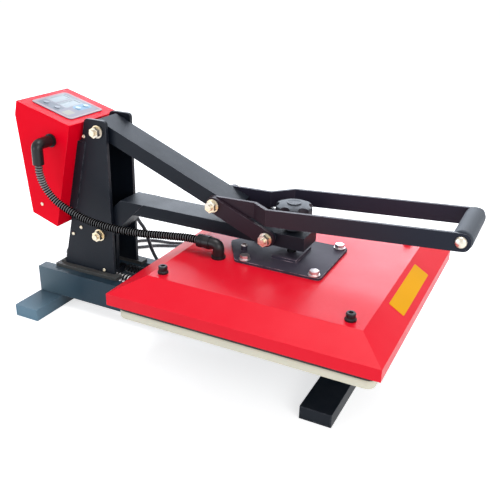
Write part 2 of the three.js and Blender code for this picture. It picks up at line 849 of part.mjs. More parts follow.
// Lever: the upper link tube from the column, the cranked handle bars and the grip
function upperLink() {
  const direction = kneePivot.clone().sub(leverPivot);
  const length = direction.length();
  const angle = Math.atan2(direction.y, direction.x);
  const half = linkTubeHeight / 2;
  const x = [-linkTubeTail, length + linkTubeTip];
  const tube = cut(
    block(x, [-armHalf, armHalf], [-half, half]),
    block(
      [x[0] + armWall, x[1] + 1],
      [-armHalf + armWall, armHalf - armWall],
      [-half + armWall, half - armWall],
    ),
  );
  const placed = toGeometry(tube).rotateY(-angle).translate(leverPivot.x, 0, leverPivot.y);
  const hub = cheekInner - seat;
  return cut(
    join(
      placed,
      rodAcross(leverPivot, bossRadius, -hub, -armHalf + 1),
      rodAcross(leverPivot, bossRadius, armHalf - 1, hub),
    ),
    boltHole(leverPivot, cheekOuter),
    boltHole(kneePivot, cheekOuter),
  );
}

const barRear = kneePivot.x - barTail;
const kneeX = kneePivot.x + barKnee;

function handleBar() {
  const half = barHeight / 2;
  const [rearZ, kneeZ] = [kneePivot.y, kneePivot.y + barKneeRise];
  const side = outline([
    [barRear, rearZ - half], [kneeX, kneeZ - half], [gripPivot.x + half, gripPivot.y - half],
    [gripPivot.x + half, gripPivot.y + half], [kneeX, kneeZ + half], [barRear, rearZ + half],
  ], [5, 0, half * 0.98, half * 0.98, 0, 8]);
  const crankEnd = kneeX + barCrank;
  const front = gripPivot.x + barHeight;
  const lean = barThickness * Math.tan(Math.atan2(barInner - barRearInner, barCrank) / 2);
  const plan = outline([
    [barRear - 5, -barRearInner], [barRear - 5, -barRearInner - barThickness],
    [kneeX - lean, -barRearInner - barThickness], [crankEnd - lean, -barInner - barThickness],
    [front, -barInner - barThickness], [front, -barInner], [crankEnd, -barInner], [kneeX, -barRearInner],
  ]);
  return cut(
    solid(plateAcross(side, -barInner - 2 * barThickness, -armHalf, 6))
      .intersect(solid(plateUp(plan, kneePivot.y - 60, gripPivot.y + 60))),
    boltHole(kneePivot, barInner),
    rodAcross(gripPivot, boltRadius + slack, -barInner - 2 * barThickness, -barInner + 1, 14),
  );
}

add('upper_link', upperLink(), blackPowder);
add('handle_bar_near', handleBar(), blackPowder);
add('handle_bar_far', mirrorY(toGeometry(handleBar())), blackPowder);
add('pivot_bolt_c', rodAcross(kneePivot, pivotRadius, -linkInner + barPlay, linkInner - barPlay), zinc);

const gripHalf = barInner - seat;
const gripHole = (y0, y1) => rodAcross(gripPivot, boltRadius + slack, y0, y1, 14);
add('handle_grip', cut(
  rodAcross(gripPivot, gripRadius, -gripHalf, gripHalf, 28),
  gripHole(-gripHalf - 1, -gripHalf + gripBoltDepth + seat),
  gripHole(gripHalf - gripBoltDepth - seat, gripHalf + 1),
), gripFoam);

// A domed screw through the bar into the grip, built along +Z with its head from z = 0
function gripBolt() {
  const shankEnd = -(seat + barThickness + seat + gripBoltDepth);
  return solid(turned([
    [0, shankEnd], [boltRadius, shankEnd], [boltRadius, 0], [gripBoltRadius, 0], [gripBoltRadius, 1.2],
    [gripBoltRadius * 0.85, 3.2], [gripBoltRadius * 0.5, 4.6], [0, 5],
  ]));
}

const gripHead = barInner + barThickness + seat;
const boltNear = add('grip_bolt_near', gripBolt(), zinc);
boltNear.position.set(gripPivot.x, -gripHead, gripPivot.y);
boltNear.rotation.x = Math.PI / 2;
const boltFar = add('grip_bolt_far', gripBolt(), zinc);
boltFar.position.set(gripPivot.x, gripHead, gripPivot.y);
boltFar.rotation.x = -Math.PI / 2;

// Toggle links, one each side, with the knee bolt's head and nut outside them
function linkPlate(y0, y1) {
  const half = linkPlateWidth / 2;
  const span = kneePivot.clone().sub(linkPivot);
  const length = span.length();
  const shape = new THREE.Shape();
  shape.absarc(0, 0, half, Math.PI / 2, -Math.PI / 2, false);
  shape.absarc(length, 0, half, -Math.PI / 2, Math.PI / 2, false);
  shape.closePath();
  const plate = plateAcross(shape, y0, y1, 10)
    .rotateY(-Math.atan2(span.y, span.x)).translate(linkPivot.x, 0, linkPivot.y);
  return cut(plate, boltHole(linkPivot, linkOuter + 5), boltHole(kneePivot, linkOuter + 5));
}

const kneeHeadAt = linkOuter + seat;
const kneeShank = (y0, y1) => rodAcross(kneePivot, pivotRadius, y0, y1);
add('link_plate_near', linkPlate(-linkOuter, -linkInner), blackPowder);
add('link_plate_far', linkPlate(linkInner, linkOuter), blackPowder);
add('bolt_c_near', join(headNear(kneePivot, kneeHeadAt), kneeShank(-kneeHeadAt - 1, -linkInner)), zinc);
add('bolt_c_far', join(headFar(kneePivot, kneeHeadAt), kneeShank(linkInner, kneeHeadAt + 1)), zinc);

// Extension springs between the arm's lug bar and an anchor pin between the rails
const springRear = armPivot.x + lugBar / 2 + seat;
const springLength = springCurls * springPitch + 2 * springLead;
const anchorX = springRear + springLength + seat + anchorRadius;

function springPoints(y) {
  const stepsPerCurl = 8;
  const steps = springCurls * stepsPerCurl;
  const grow = stepsPerCurl / 2;
  const points = [new THREE.Vector3(springRear, y, barZ)];
  for (let i = 0; i <= steps; i += 1) {
    const angle = (i / stepsPerCurl) * 2 * Math.PI;
    const r = springRadius * Math.min(1, i / grow, (steps - i) / grow);
    const x = springRear + springLead + (i / stepsPerCurl) * springPitch;
    points.push(new THREE.Vector3(x, y + r * Math.sin(angle), barZ + r * Math.cos(angle)));
  }
  points.push(new THREE.Vector3(springRear + springLength, y, barZ));
  return points;
}

[['spring_near', -springSpacing / 2], ['spring_far', springSpacing / 2]].forEach(([name, y]) => {
  const points = springPoints(y);
  add(name, woundTube(points, springWire, 5, new THREE.Vector3(0, 0, 1)), springSteel);
  console.log(`${name}: least gap between curls ${leastGap(points, springWire, 5).toFixed(2)} mm`);
});
const anchorAt = new THREE.Vector2(anchorX, barZ);
add('spring_anchor', rodAcross(anchorAt, anchorRadius, seat - railInner, railInner - seat), zinc);

// Control box: a folded housing, open at the rear and closed there by a cover
const tilt = THREE.MathUtils.degToRad(boxTilt);
const boxFrontTop = new THREE.Vector2(0, columnBottom + boxTopRise);
boxFrontTop.x = columnRearAt(boxFrontTop.y) - boxStandOff;
const boxFrontLow = new THREE.Vector2(0, boxFrontTop.y - boxFrontDrop);
boxFrontLow.x = columnRearAt(boxFrontLow.y) - boxStandOff;
const boxRearTop = new THREE.Vector2(
  boxFrontTop.x - boxDepth * Math.cos(tilt),
  boxFrontTop.y + boxDepth * Math.sin(tilt),
);
const boxRearmost = boxRearTop.x - boxCorner;
const boxRearLow = new THREE.Vector2(boxRearTop.x + boxRearInset, boxRearTop.y - boxRearDrop);
const boxProfile = [
  [boxFrontLow.x, boxFrontLow.y], [boxFrontTop.x, boxFrontTop.y], [boxRearTop.x, boxRearTop.y],
  [boxRearmost, boxRearTop.y - 3.8 * boxCorner], [boxRearLow.x, boxRearLow.y],
];

const panel = new THREE.Group();
panel.position.set(boxFrontTop.x, 0, boxFrontTop.y);
panel.rotation.y = tilt;
panel.updateMatrix();
press.add(panel);

const windowBox = [
  [-panelFront - panelLength + windowMargin, -panelFront - windowMargin],
  [-panelHalfWidth + windowMargin, panelHalfWidth - windowMargin],
];
const housingElbowAt = [boxFrontTop.x - elbowBack, boxFrontTop.y - elbowDown];
const glandAt = [boxFrontTop.x - glandBack, boxFrontTop.y - glandDown];
const switchZ = boxFrontTop.y - switchDrop;
const pipeHole = ([x, z], radius, y0, y1) => rodAcross(new THREE.Vector2(x, z), radius + slack, y0, y1);

// The rear opening follows the long rear edge, from just above its foot to just below the top fold
function rearOpening(margin, depth) {
  const [top, low] = [new THREE.Vector2(...boxProfile[3]), new THREE.Vector2(...boxProfile[4])];
  const down = low.clone().sub(top).normalize();
  const inward = new THREE.Vector2(-down.y, down.x);
  const a = top.clone().addScaledVector(down, margin);
  const b = low.clone().addScaledVector(down, -margin);
  return [
    a.clone().addScaledVector(inward, -depth[0]), b.clone().addScaledVector(inward, -depth[0]),
    b.clone().addScaledVector(inward, depth[1]), a.clone().addScaledVector(inward, depth[1]),
  ].map((point) => point.toArray());
}

function housing() {
  const inner = boxHalfWidth - boxWall;
  return cut(
    plateAcross(outline(boxProfile), -boxHalfWidth, boxHalfWidth),
    plateAcross(outline(inset(boxProfile, boxWall)), -inner, inner),
    plateAcross(outline(rearOpening(6, [5, 5])), -inner + 6, inner - 6),
    block(...windowBox, [-5, 5]).applyMatrix4(panel.matrix),
    pipeHole(housingElbowAt, elbowRadius - 3, -boxHalfWidth - 5, -inner + 5),
    pipeHole(glandAt, cordRadius + 1.5, inner - 5, boxHalfWidth + 5),
    block(
      [switchX - switchWidth / 2 - switchWall - seat, switchX + switchWidth / 2 + switchWall + seat],
      [inner - 5, boxHalfWidth + 5],
      [switchZ - switchLength / 2 - switchWall - seat, switchZ + switchLength / 2 + switchWall + seat],
    ),
  );
}

add('controller_housing', housing(), redPowder);
add('controller_back', plateAcross(
  outline(rearOpening(6 + seat, [0, boxWall])),
  -boxHalfWidth + boxWall + 6 + seat,
  boxHalfWidth - boxWall - 6 - seat,
), redPowder);

// Panel, display and buttons, in the tilted frame of the top face: -x runs back, z stands off the face
const displayRows = [[81, 9], [58, 9]];
const displayHalf = [7.5, 18];
const buttonPlaces = [[80, -24], [57, -24], [38.5, 5.6], [38.5, 25.2]];

function panelPlate() {
  const plate = plateUp(outline([
    [-panelFront - panelLength, -panelHalfWidth], [-panelFront, -panelHalfWidth],
    [-panelFront, panelHalfWidth], [-panelFront - panelLength, panelHalfWidth],
  ], panelCorner), seat, seat + panelThickness);
  return cut(
    plate,
    ...displayRows.map(([s, y]) => block(
      [-s - displayHalf[0] - seat, -s + displayHalf[0] + seat],
      [y - displayHalf[1] - seat, y + displayHalf[1] + seat],
      [-2, 5],
    )),
    ...buttonPlaces.map(([s, y]) => rodUp(-s, y, buttonRadius + buttonGap, -2, 5)),
  );
}

function display() {
  const [rearRow, frontRow] = displayRows;
  const back = block(
    [-rearRow[0] - displayHalf[0] - 2, -frontRow[0] + displayHalf[0] + 2],
    [rearRow[1] - displayHalf[1] - 2, rearRow[1] + displayHalf[1] + 2],
    [-displayDepth, -seat],
  );
  return join(back, ...displayRows.map(([s, y]) => block(
    [-s - displayHalf[0], -s + displayHalf[0]],
    [y - displayHalf[1], y + displayHalf[1]],
    [-1, seat + panelThickness - 0.2],
  )));
}

add('controller_panel', panelPlate(), panelGrey, panel);
add('display_module', display(), displayPale, panel);
add('circuit_board', block(
  [windowBox[0][0] + 1, windowBox[0][1] - 1],
  [windowBox[1][0] + 1, windowBox[1][1] - 1],
  [-displayDepth - seat - boardThickness, -displayDepth - seat],
), boardGreen, panel);
buttonPlaces.forEach(([s, y], i) => {
  const top = seat + panelThickness + buttonStand;
  const bottom = top - buttonStand - panelThickness - buttonDepth;
  const button = rodUp(0, 0, buttonRadius, bottom, top);
  add(`button_${i + 1}`, button, i < 2 ? buttonGrey : buttonBlue, panel).position.set(-s, y, 0);
});

// Mains switch on the far side of the housing
const switchPlace = new THREE.Group();
switchPlace.position.set(switchX, boxHalfWidth, switchZ);
press.add(switchPlace);

function switchFrame() {
  const [w, l] = [switchWidth / 2, switchLength / 2];
  const flangeTop = seat + 1.7;
  const sleeve = (rim, y) => block([-w - rim, w + rim], y, [-l - rim, l + rim]);
  return cut(
    join(sleeve(switchFlange, [seat, flangeTop]), sleeve(switchWall, [-6, seat + 1])),
    block([-w, w], [-7, flangeTop + 1], [-l, l]),
  );
}

function rocker() {
  const reach = switchLength / 2 - 0.6;
  const face = outline([[-reach, 1.6], [-reach + 0.4, -3], [reach - 0.4, -3], [reach, 1.6], [0, 0]]);
  const depth = switchWidth - 0.8;
  return new THREE.ExtrudeGeometry(face, { depth, bevelEnabled: false })
    .translate(0, 0, -depth / 2).rotateY(Math.PI / 2);
}

add('switch_frame', switchFrame(), blackPlastic, switchPlace);
const rockerMesh = add('rocker_switch', rocker(), blackPlastic, switchPlace);
rockerMesh.rotation.x = THREE.MathUtils.degToRad(-rockerRest);

// Conduit elbows and the corrugated hose between them
const hoseStart = [housingElbowAt[0], -boxHalfWidth - elbowOut, housingElbowAt[1] - elbowDrop];
const hoseEndX = elbowPlace[0] - platenElbowReach;
const hoseEndZ = coverTop + platenElbowRise;

function housingElbow() {
  const [x, z] = housingElbowAt;
  const face = -boxHalfWidth - seat;
  return join(
    elbow([x, face, z], [x, hoseStart[1], z], [x, hoseStart[1], hoseStart[2]], elbowRadius, elbowBend),
    rodAcross(new THREE.Vector2(x, z), elbowRadius + elbowFlange, face - 3, face),
    rodAcross(new THREE.Vector2(x, z), elbowRadius - 3, face - 1, face + 6),
  );
}

// A sleeve with grip rings, built along +Z from z = 0
function gripSleeve() {
  const step = sleeveLength / (2 * sleeveRings);
  const rings = Array.from({ length: sleeveRings }, (_, k) => [
    [sleeveRadius, step * k], [sleeveRadius, step * (k + 0.55)],
    [sleeveRadius - 0.9, step * (k + 0.55)], [sleeveRadius - 0.9, step * (k + 1)],
  ]).flat();
  const end = [[sleeveRadius, sleeveLength / 2], [sleeveRadius, sleeveLength], [0, sleeveLength]];
  return turned([[0, 0], ...rings, ...end], 10);
}

function platenElbow() {
  const [x, y] = elbowPlace;
  const face = coverTop + seat;
  return join(
    gripSleeve().rotateY(Math.PI / 2).translate(hoseEndX, y, hoseEndZ),
    elbow([x, y, face], [x, y, hoseEndZ], [hoseEndX, y, hoseEndZ], elbowRadius, elbowBend),
    rodUp(x, y, elbowRadius + elbowFlange, face, face + 3),
    rodUp(x, y, elbowRadius - 3, face - 6, face + 1),
  );
}

add('housing_elbow', housingElbow(), blackPlastic);
add('platen_elbow', platenElbow(), blackPlastic);

// Chosen points of the hose between its straight ends, as x, y and z
const hoseRoute = [
  [hoseStart[0], hoseStart[1], hoseStart[2] - seat],
  [hoseStart[0], hoseStart[1], hoseStart[2] - 14],
  [-395, -91, 234],
  [-380, -87, 213],
  [-358, -83, 199],
  [-327, -80, 188],
  [-287, -77, 182],
  [-234, -70, 180],
  [-189, -64, 183],
  [hoseEndX - 16, elbowPlace[1], hoseEndZ],
  [hoseEndX - seat, elbowPlace[1], hoseEndZ],
];

function hose() {
  const places = hoseRoute.map((place) => new THREE.Vector3(...place));
  const middle = new THREE.CatmullRomCurve3(places.slice(1, -1), false, 'centripetal');
  const path = new THREE.CurvePath();
  path.add(new THREE.LineCurve3(places[0], places[1]));
  path.add(middle);
  path.add(new THREE.LineCurve3(places.at(-2), places.at(-1)));
  const ribs = Math.round(path.getLength() / ribPitch);
  const line = path.getSpacedPoints(2 * ribs);
  const spine = frames(line, new THREE.Vector3(0, 1, 0));
  const outer = spine.map((frame, i) => ring(frame, i % 2 ? hoseRadius : hoseGroove, 8));
  const inner = spine.filter((frame, i) => i % 10 === 0 || i === spine.length - 1)
    .map((frame) => ring(frame, hoseBore, 8));
  console.log(`hose: ${ribs} ribs over ${path.getLength().toFixed(0)} mm`);
  return skin([...outer, ...inner.reverse()], true);
}

add('hose', hose(), blackPlastic);

// Mains cord from its gland, the coil on the floor behind the press, and the plug
const glandTip = boxHalfWidth + glandLength;

function gland() {
  const face = boxHalfWidth + seat;
  const [start, end] = [7, glandTip - face];
  const sleeve = Array.from({ length: glandRings }, (_, k) => {
    const t = k / glandRings;
    const [r, y] = [8 - 3 * t, start + (end - start) * t];
    const ringEnd = y + (end - start) * 0.6 / glandRings;
    return [[r, y], [r - 0.3, ringEnd], [r - 1.6, ringEnd], [r - 1.8, start + (end - start) * (t + 1 / glandRings)]];
  }).flat();
  const body = turned([
    [0, -6], [cordRadius + 1.5, -6], [cordRadius + 1.5, 0], [9.5, 0], [9.5, 4], [8, 5], ...sleeve, [0, end],
  ], 10);
  return solid(body.rotateX(-Math.PI / 2).translate(glandAt[0], face, glandAt[1]));
}

const coilBase = cordRadius + 0.3;
const coilTop = coilBase + coilPitch;
const lead = 2 * cordRadius;

function coilPoints() {
  const stepsPerLoop = 24;
  const steps = coilLoops * stepsPerLoop;
  const climb = [steps / 2 - stepsPerLoop / 4, steps / 2 + stepsPerLoop / 4];
  const points = [new THREE.Vector3(coilX + lead, coilY + coilOuter, coilBase)];
  for (let i = 0; i <= steps; i += 1) {
    const angle = Math.PI / 2 + (i / stepsPerLoop) * 2 * Math.PI;
    const turnsIn = Math.min(i, steps - i, steps / 2) / stepsPerLoop;
    const r = coilOuter - coilPitch * Math.min(turnsIn, (steps / 2) / stepsPerLoop);
    const rise = THREE.MathUtils.clamp((i - climb[0]) / (climb[1] - climb[0]), 0, 1);
    points.push(new THREE.Vector3(
      coilX + r * Math.cos(angle),
      coilY + r * Math.sin(angle),
      coilBase + coilPitch * rise,
    ));
  }
  points.push(new THREE.Vector3(coilX + coilOuter, coilY + lead, coilTop));
  return points;
}

const coilLine = coilPoints();
add('cord_gland', gland(), blackPlastic);
add('mains_cord', cordAlong([
  [glandAt[0], glandTip + seat, glandAt[1]],
  [glandAt[0], glandTip + 8, glandAt[1]],
  [-419, 111, 199],
  [-405, 119, 170],
  [-386, 120, 134],
  [-370, 119, 114],
  [-354, 119, 97],
  [-346, 119, 76],
  [-337, 120, 50],
  [-324, 124, 24],
  [-304, 136, 7],
  [-282, 158, coilBase],
  [-270, 195, coilBase],
  [-275, 235, coilBase],
  [-297, 266, coilBase],
  [-332, 280, coilBase],
  [-366, 272, coilBase],
  [-390, 264, coilBase],
  [-415, 261, coilBase],
  [-438, 253, coilBase],
  [-457, 237, coilBase],
  [-464, 212, coilBase],
  [-474, 190, coilBase],
  [coilX + lead + 10, coilY + coilOuter, coilBase],
  [coilX + lead + seat, coilY + coilOuter, coilBase],
], cordRadius, 7, 56), cordRubber);
add('cord_coil', woundTube(coilLine, cordRadius, 6, new THREE.Vector3(0, 0, 1)), cordRubber);
console.log(`cord_coil: least gap between loops ${leastGap(coilLine, cordRadius, 12).toFixed(2)} mm`);

const plugAxis = plugBodyHeight / 2 + 0.2;
add('plug_cord', cordAlong([
  [coilX + coilOuter, coilY + lead + seat, coilTop],
  [coilX + coilOuter, coilY + lead + 10, coilTop + 0.6],
  [-456, 178, coilTop - 2],
  [-446, 197, coilBase + 2],
  [-433, 213, coilBase],
  [-418, 229, coilBase],
  [-402, 240, coilBase],
  [-382, 247, coilBase + 1],
  [plugRear - 12, plugMiddle, plugAxis - 0.4],
  [plugRear - 1 - seat, plugMiddle, plugAxis],
], cordRadius, 7, 18), cordRubber);

function mainsPlug() {
  const body = plateUp(outline([
    [plugRear + 8, plugMiddle - 8], [plugRear + plugBodyLength, plugMiddle - plugBodyWidth / 2],
    [plugRear + plugBodyLength, plugMiddle + plugBodyWidth / 2], [plugRear + 8, plugMiddle + 8],
  ], 3), plugAxis - plugBodyHeight / 2, plugAxis + plugBodyHeight / 2);
  const relief = new THREE.CylinderGeometry(6, 4.5, 10, 12).rotateZ(-Math.PI / 2)
    .translate(plugRear + 4, plugMiddle, plugAxis);
  const tip = plugRear + plugBodyLength;
  const blade = (y) => block([tip - 1, tip + 17], [y - 0.8, y + 0.8], [plugAxis - 1, plugAxis + 5]);
  const pin = new THREE.CylinderGeometry(2.3, 2.3, 20, 12).rotateZ(Math.PI / 2)
    .translate(tip + 9, plugMiddle, plugAxis - 4);
  return join(body, relief, blade(plugMiddle - 6.3), blade(plugMiddle + 6.3), pin);
}

add('mains_plug', mainsPlug(), blackPlastic);

// The origin is on the floor below the middle of the press
press.position.x = -(boxRearmost + gripPivot.x + barHeight / 2) / 2;

export default press;
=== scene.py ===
# %% [markdown]
# # Dressing a clamshell heat press
# The press comes as bare solids: tubes, plates, bolts and a hipped cover. This lesson gives each of
# them the edges, finish and small parts that the real one has, and sets it on a pale floor.
# The solids stay where they are. What is only a stand-in, such as the cord, the hose, the springs
# and the pad, is made again with its real form.

import json
import math
import random

import bpy
from mathutils import Matrix, Vector

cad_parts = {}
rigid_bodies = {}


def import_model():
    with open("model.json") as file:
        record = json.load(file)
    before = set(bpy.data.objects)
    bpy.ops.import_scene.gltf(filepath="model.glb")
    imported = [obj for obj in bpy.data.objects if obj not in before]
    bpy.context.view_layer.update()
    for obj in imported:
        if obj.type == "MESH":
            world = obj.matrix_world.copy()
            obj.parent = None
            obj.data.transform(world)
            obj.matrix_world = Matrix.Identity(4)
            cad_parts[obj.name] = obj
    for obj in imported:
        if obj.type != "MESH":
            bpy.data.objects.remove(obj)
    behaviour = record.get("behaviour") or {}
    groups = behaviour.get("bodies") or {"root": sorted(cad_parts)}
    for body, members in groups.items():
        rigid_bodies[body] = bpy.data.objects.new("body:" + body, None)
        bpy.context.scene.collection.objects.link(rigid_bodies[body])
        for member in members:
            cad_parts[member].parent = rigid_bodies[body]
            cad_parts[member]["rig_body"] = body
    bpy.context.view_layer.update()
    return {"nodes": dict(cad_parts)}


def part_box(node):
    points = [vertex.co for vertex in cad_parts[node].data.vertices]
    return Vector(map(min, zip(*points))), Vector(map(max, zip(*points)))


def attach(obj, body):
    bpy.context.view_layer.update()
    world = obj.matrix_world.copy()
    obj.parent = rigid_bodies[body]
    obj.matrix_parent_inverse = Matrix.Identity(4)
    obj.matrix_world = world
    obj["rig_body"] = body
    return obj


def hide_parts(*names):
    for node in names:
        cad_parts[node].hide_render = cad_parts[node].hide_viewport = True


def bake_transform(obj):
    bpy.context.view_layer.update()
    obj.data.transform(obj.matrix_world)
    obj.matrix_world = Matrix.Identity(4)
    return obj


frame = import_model()
scene = bpy.context.scene

# %% [markdown]
# ## Two frames of reference
# The press was drawn with x = 0 in the middle of its work area, in millimetres. The solids sit with
# x = 0 in the middle of the whole press, in metres. One helper turns a drawn place into a scene
# place, so that every route below can be read against the drawing. Another puts new data there.

# %% Places
SHIFT = 0.1060925
MM = 0.001


def at(x, y, z):
    return Vector((x * MM + SHIFT, y * MM, z * MM))


def placed(name, data):
    piece = bpy.data.objects.new(name, data)
    scene.collection.objects.link(piece)
    return piece


print("middle of the work area:", tuple(round(v, 4) for v in at(0, 0, 0)))

# %% [markdown]
# ## The camera
# A product picture is taken from the front right corner, a little above the press. The place and the
# three angles were worked out from the vanishing lines of the rails and the cover. Building the
# matrix from its three axes keeps a small roll exact, which a track-to constraint would lose.

# %% Camera
YAW, PITCH, ROLL = -0.450, 0.418, 0.026
FOCAL_LENGTH, FILM_WIDTH = 49.146, 36
CAMERA_AT = (0.455949, -0.879290, 0.593542)
forward = Vector((math.sin(YAW) * math.cos(PITCH), math.cos(YAW) * math.cos(PITCH), -math.sin(PITCH)))
level = Vector((math.cos(YAW), -math.sin(YAW), 0))
upward = level.cross(forward)
right = math.cos(ROLL) * level + math.sin(ROLL) * upward
top = -math.sin(ROLL) * level + math.cos(ROLL) * upward

lens = bpy.data.cameras.new("picture_camera")
lens.lens = FOCAL_LENGTH
lens.sensor_width = FILM_WIDTH
lens.shift_x, lens.shift_y = 0.0026, -0.00135
turned = Matrix((right, top, -forward)).transposed().to_4x4()
camera = placed("picture_camera", lens)
camera.matrix_world = Matrix.Translation(CAMERA_AT) @ turned
scene.camera = camera
print("camera looks along", tuple(round(v, 3) for v in forward))

# %% [markdown]
# ## Working on one piece at a time
# An operator acts on whatever is selected, and loading leaves every solid selected. So each step
# starts by selecting nothing, then one piece. `settle` moves a piece's place and size into its mesh,
# so the finished object sits at the origin, as the solids do. Small parts start as a slab or a disc.

# %% Selecting and settling
def alone(piece):
    bpy.ops.object.select_all(action="DESELECT")
    piece.select_set(True)
    bpy.context.view_layer.objects.active = piece
    return piece


def called(name):
    piece = bpy.context.object
    piece.name = name
    piece.data.name = name
    return piece


def settle(piece):
    alone(piece)
    bpy.ops.object.transform_apply(location=True, rotation=True, scale=True)
    return piece


def slab(name, size, place=(0, 0, 0)):
    bpy.ops.object.select_all(action="DESELECT")
    bpy.ops.mesh.primitive_cube_add(size=1, location=place, scale=size)
    return settle(called(name))


def disc(name, sides, radius, depth, place):
    bpy.ops.object.select_all(action="DESELECT")
    bpy.ops.mesh.primitive_cylinder_add(vertices=sides, radius=radius, depth=depth, location=place)
    return settle(called(name))


print("selected after loading:", len(bpy.context.selected_objects))

# %% [markdown]
# Faces and edges are picked by a test on their place and direction. The picks are set in object mode,
# because edit mode works on its own copy of the mesh, and the next operator needs edit mode again.

# %% Picking faces and edges
def pick_faces(piece, test):
    alone(piece)
    bpy.ops.object.mode_set(mode="EDIT")
    bpy.ops.mesh.select_mode(type="FACE")
    bpy.ops.mesh.select_all(action="DESELECT")
    bpy.ops.object.mode_set(mode="OBJECT")
    for face in piece.data.polygons:
        face.select = bool(test(face.center, face.normal))
    bpy.ops.object.mode_set(mode="EDIT")


def pick_edges(piece, test):
    alone(piece)
    bpy.ops.object.mode_set(mode="EDIT")
    bpy.ops.mesh.select_mode(type="EDGE")
    bpy.ops.mesh.select_all(action="DESELECT")
    bpy.ops.object.mode_set(mode="OBJECT")
    points = piece.data.vertices
    for edge in piece.data.edges:
        a, b = (points[v].co for v in edge.vertices)
        edge.select = bool(test(a, b))
    bpy.ops.object.mode_set(mode="EDIT")


def done_editing():
    bpy.ops.object.mode_set(mode="OBJECT")


print("mode between edits:", bpy.context.mode)

# %% [markdown]
# ## Shared effects: grain, edge wear, dust and brushing
# Powder coat, moulded plastic and zinc all need the same few effects in different strengths. Each
# effect is a node group that gives out a mask or a height, never a finished shader. The group can
# then be placed in every material with its own values. Small functions add one node with its links
# and give back the socket it ends in.

# %% A helper for node groups
def effect(name, inputs, outputs):
    group = bpy.data.node_groups.new(name, "ShaderNodeTree")
    for label, value in inputs:
        socket = group.interface.new_socket(label, in_out="INPUT", socket_type="NodeSocketFloat")
        socket.default_value = value
    for label in outputs:
        group.interface.new_socket(label, in_out="OUTPUT", socket_type="NodeSocketFloat")
    nodes = group.nodes
    return group, nodes, group.links, nodes.new("NodeGroupInput"), nodes.new("NodeGroupOutput")


def ramp_between(nodes, links, source, low, high, low_out=0.0, high_out=1.0):
    ramp = nodes.new("ShaderNodeMapRange")
    ramp.inputs["From Min"].default_value = low
    ramp.inputs["From Max"].default_value = high
    ramp.inputs["To Min"].default_value = low_out
    ramp.inputs["To Max"].default_value = high_out
    links.new(source, ramp.inputs["Value"])
    return ramp.outputs["Result"]


def maths(nodes, links, operation, first, second):
    node = nodes.new("ShaderNodeMath")
    node.operation = operation
    for socket, value in zip(node.inputs, (first, second)):
        if isinstance(value, float):
            socket.default_value = value
        else:
            links.new(value, socket)
    return node.outputs["Value"]


def noise(nodes, links, scale, detail):
    place = nodes.new("ShaderNodeTexCoord")
    made = nodes.new("ShaderNodeTexNoise")
    made.inputs["Detail"].default_value = detail
    links.new(place.outputs["Object"], made.inputs["Vector"])
    links.new(scale, made.inputs["Scale"])
    return made


print("helpers ready")

# %% [markdown]
# Powder coat is sprayed as dust and baked, and it flows out with the skin of an orange: bumps under
# a millimetre wide. A second, wide noise gives the slow change of tone that no oven avoids.

# %% Grain
grain, n, l, given, out = effect("fine_grain", [("Size", 900.0), ("Mottle", 12.0)], ["Height", "Tone"])
fine = noise(n, l, given.outputs["Size"], 2.0)
wide = noise(n, l, given.outputs["Mottle"], 5.0)
l.new(fine.outputs["Fac"], out.inputs["Height"])
l.new(wide.outputs["Fac"], out.inputs["Tone"])
print("effect:", grain.name)

# %% [markdown]
# Paint is thinnest on an edge, and an edge is what gets knocked. The Bevel node gives the normal that
# a rounded edge would have. Where it turns away from the real normal there is an edge, and noise
# breaks that line up so that it looks rubbed and not drawn.

# %% Edge wear
wear, n, l, given, out = effect(
    "rubbed_edges", [("Radius", 0.0012), ("Amount", 0.5), ("Breaks", 90.0)], ["Mask"]
)
rounded = n.new("ShaderNodeBevel")
rounded.samples = 4
shape = n.new("ShaderNodeNewGeometry")
same = n.new("ShaderNodeVectorMath")
same.operation = "DOT_PRODUCT"
l.new(given.outputs["Radius"], rounded.inputs["Radius"])
l.new(rounded.outputs["Normal"], same.inputs[0])
l.new(shape.outputs["Normal"], same.inputs[1])
turned_away = ramp_between(n, l, same.outputs["Value"], 0.997, 0.90)
breaks = noise(n, l, given.outputs["Breaks"], 6.0)
patches = ramp_between(n, l, breaks.outputs["Fac"], 0.42, 0.62)
both = maths(n, l, "MULTIPLY", turned_away, patches)
l.new(maths(n, l, "MULTIPLY", both, given.outputs["Amount"]), out.inputs["Mask"])
print("effect:", wear.name)

# %% [markdown]
# Dust and handling lie on what faces up. The mask is the upward part of the normal, broken by noise.

# %% Dust
dust, n, l, given, out = effect("settled_dust", [("Amount", 0.3), ("Size", 26.0)], ["Mask"])
shape = n.new("ShaderNodeNewGeometry")
parts = n.new("ShaderNodeSeparateXYZ")
l.new(shape.outputs["Normal"], parts.inputs["Vector"])
upward_part = ramp_between(n, l, parts.outputs["Z"], 0.55, 1.0)
drift = noise(n, l, given.outputs["Size"], 7.0)
drift.inputs["Roughness"].default_value = 0.62
drifted = ramp_between(n, l, drift.outputs["Fac"], 0.35, 0.8)
both = maths(n, l, "MULTIPLY", upward_part, drifted)
l.new(maths(n, l, "MULTIPLY", both, given.outputs["Amount"]), out.inputs["Mask"])
print("effect:", dust.name)

# %% [markdown]
# Rolled and turned metal shows fine lines along one direction. Noise that is stretched a hundred
# times along X gives such lines, and the same value serves as a height and as a change of roughness.

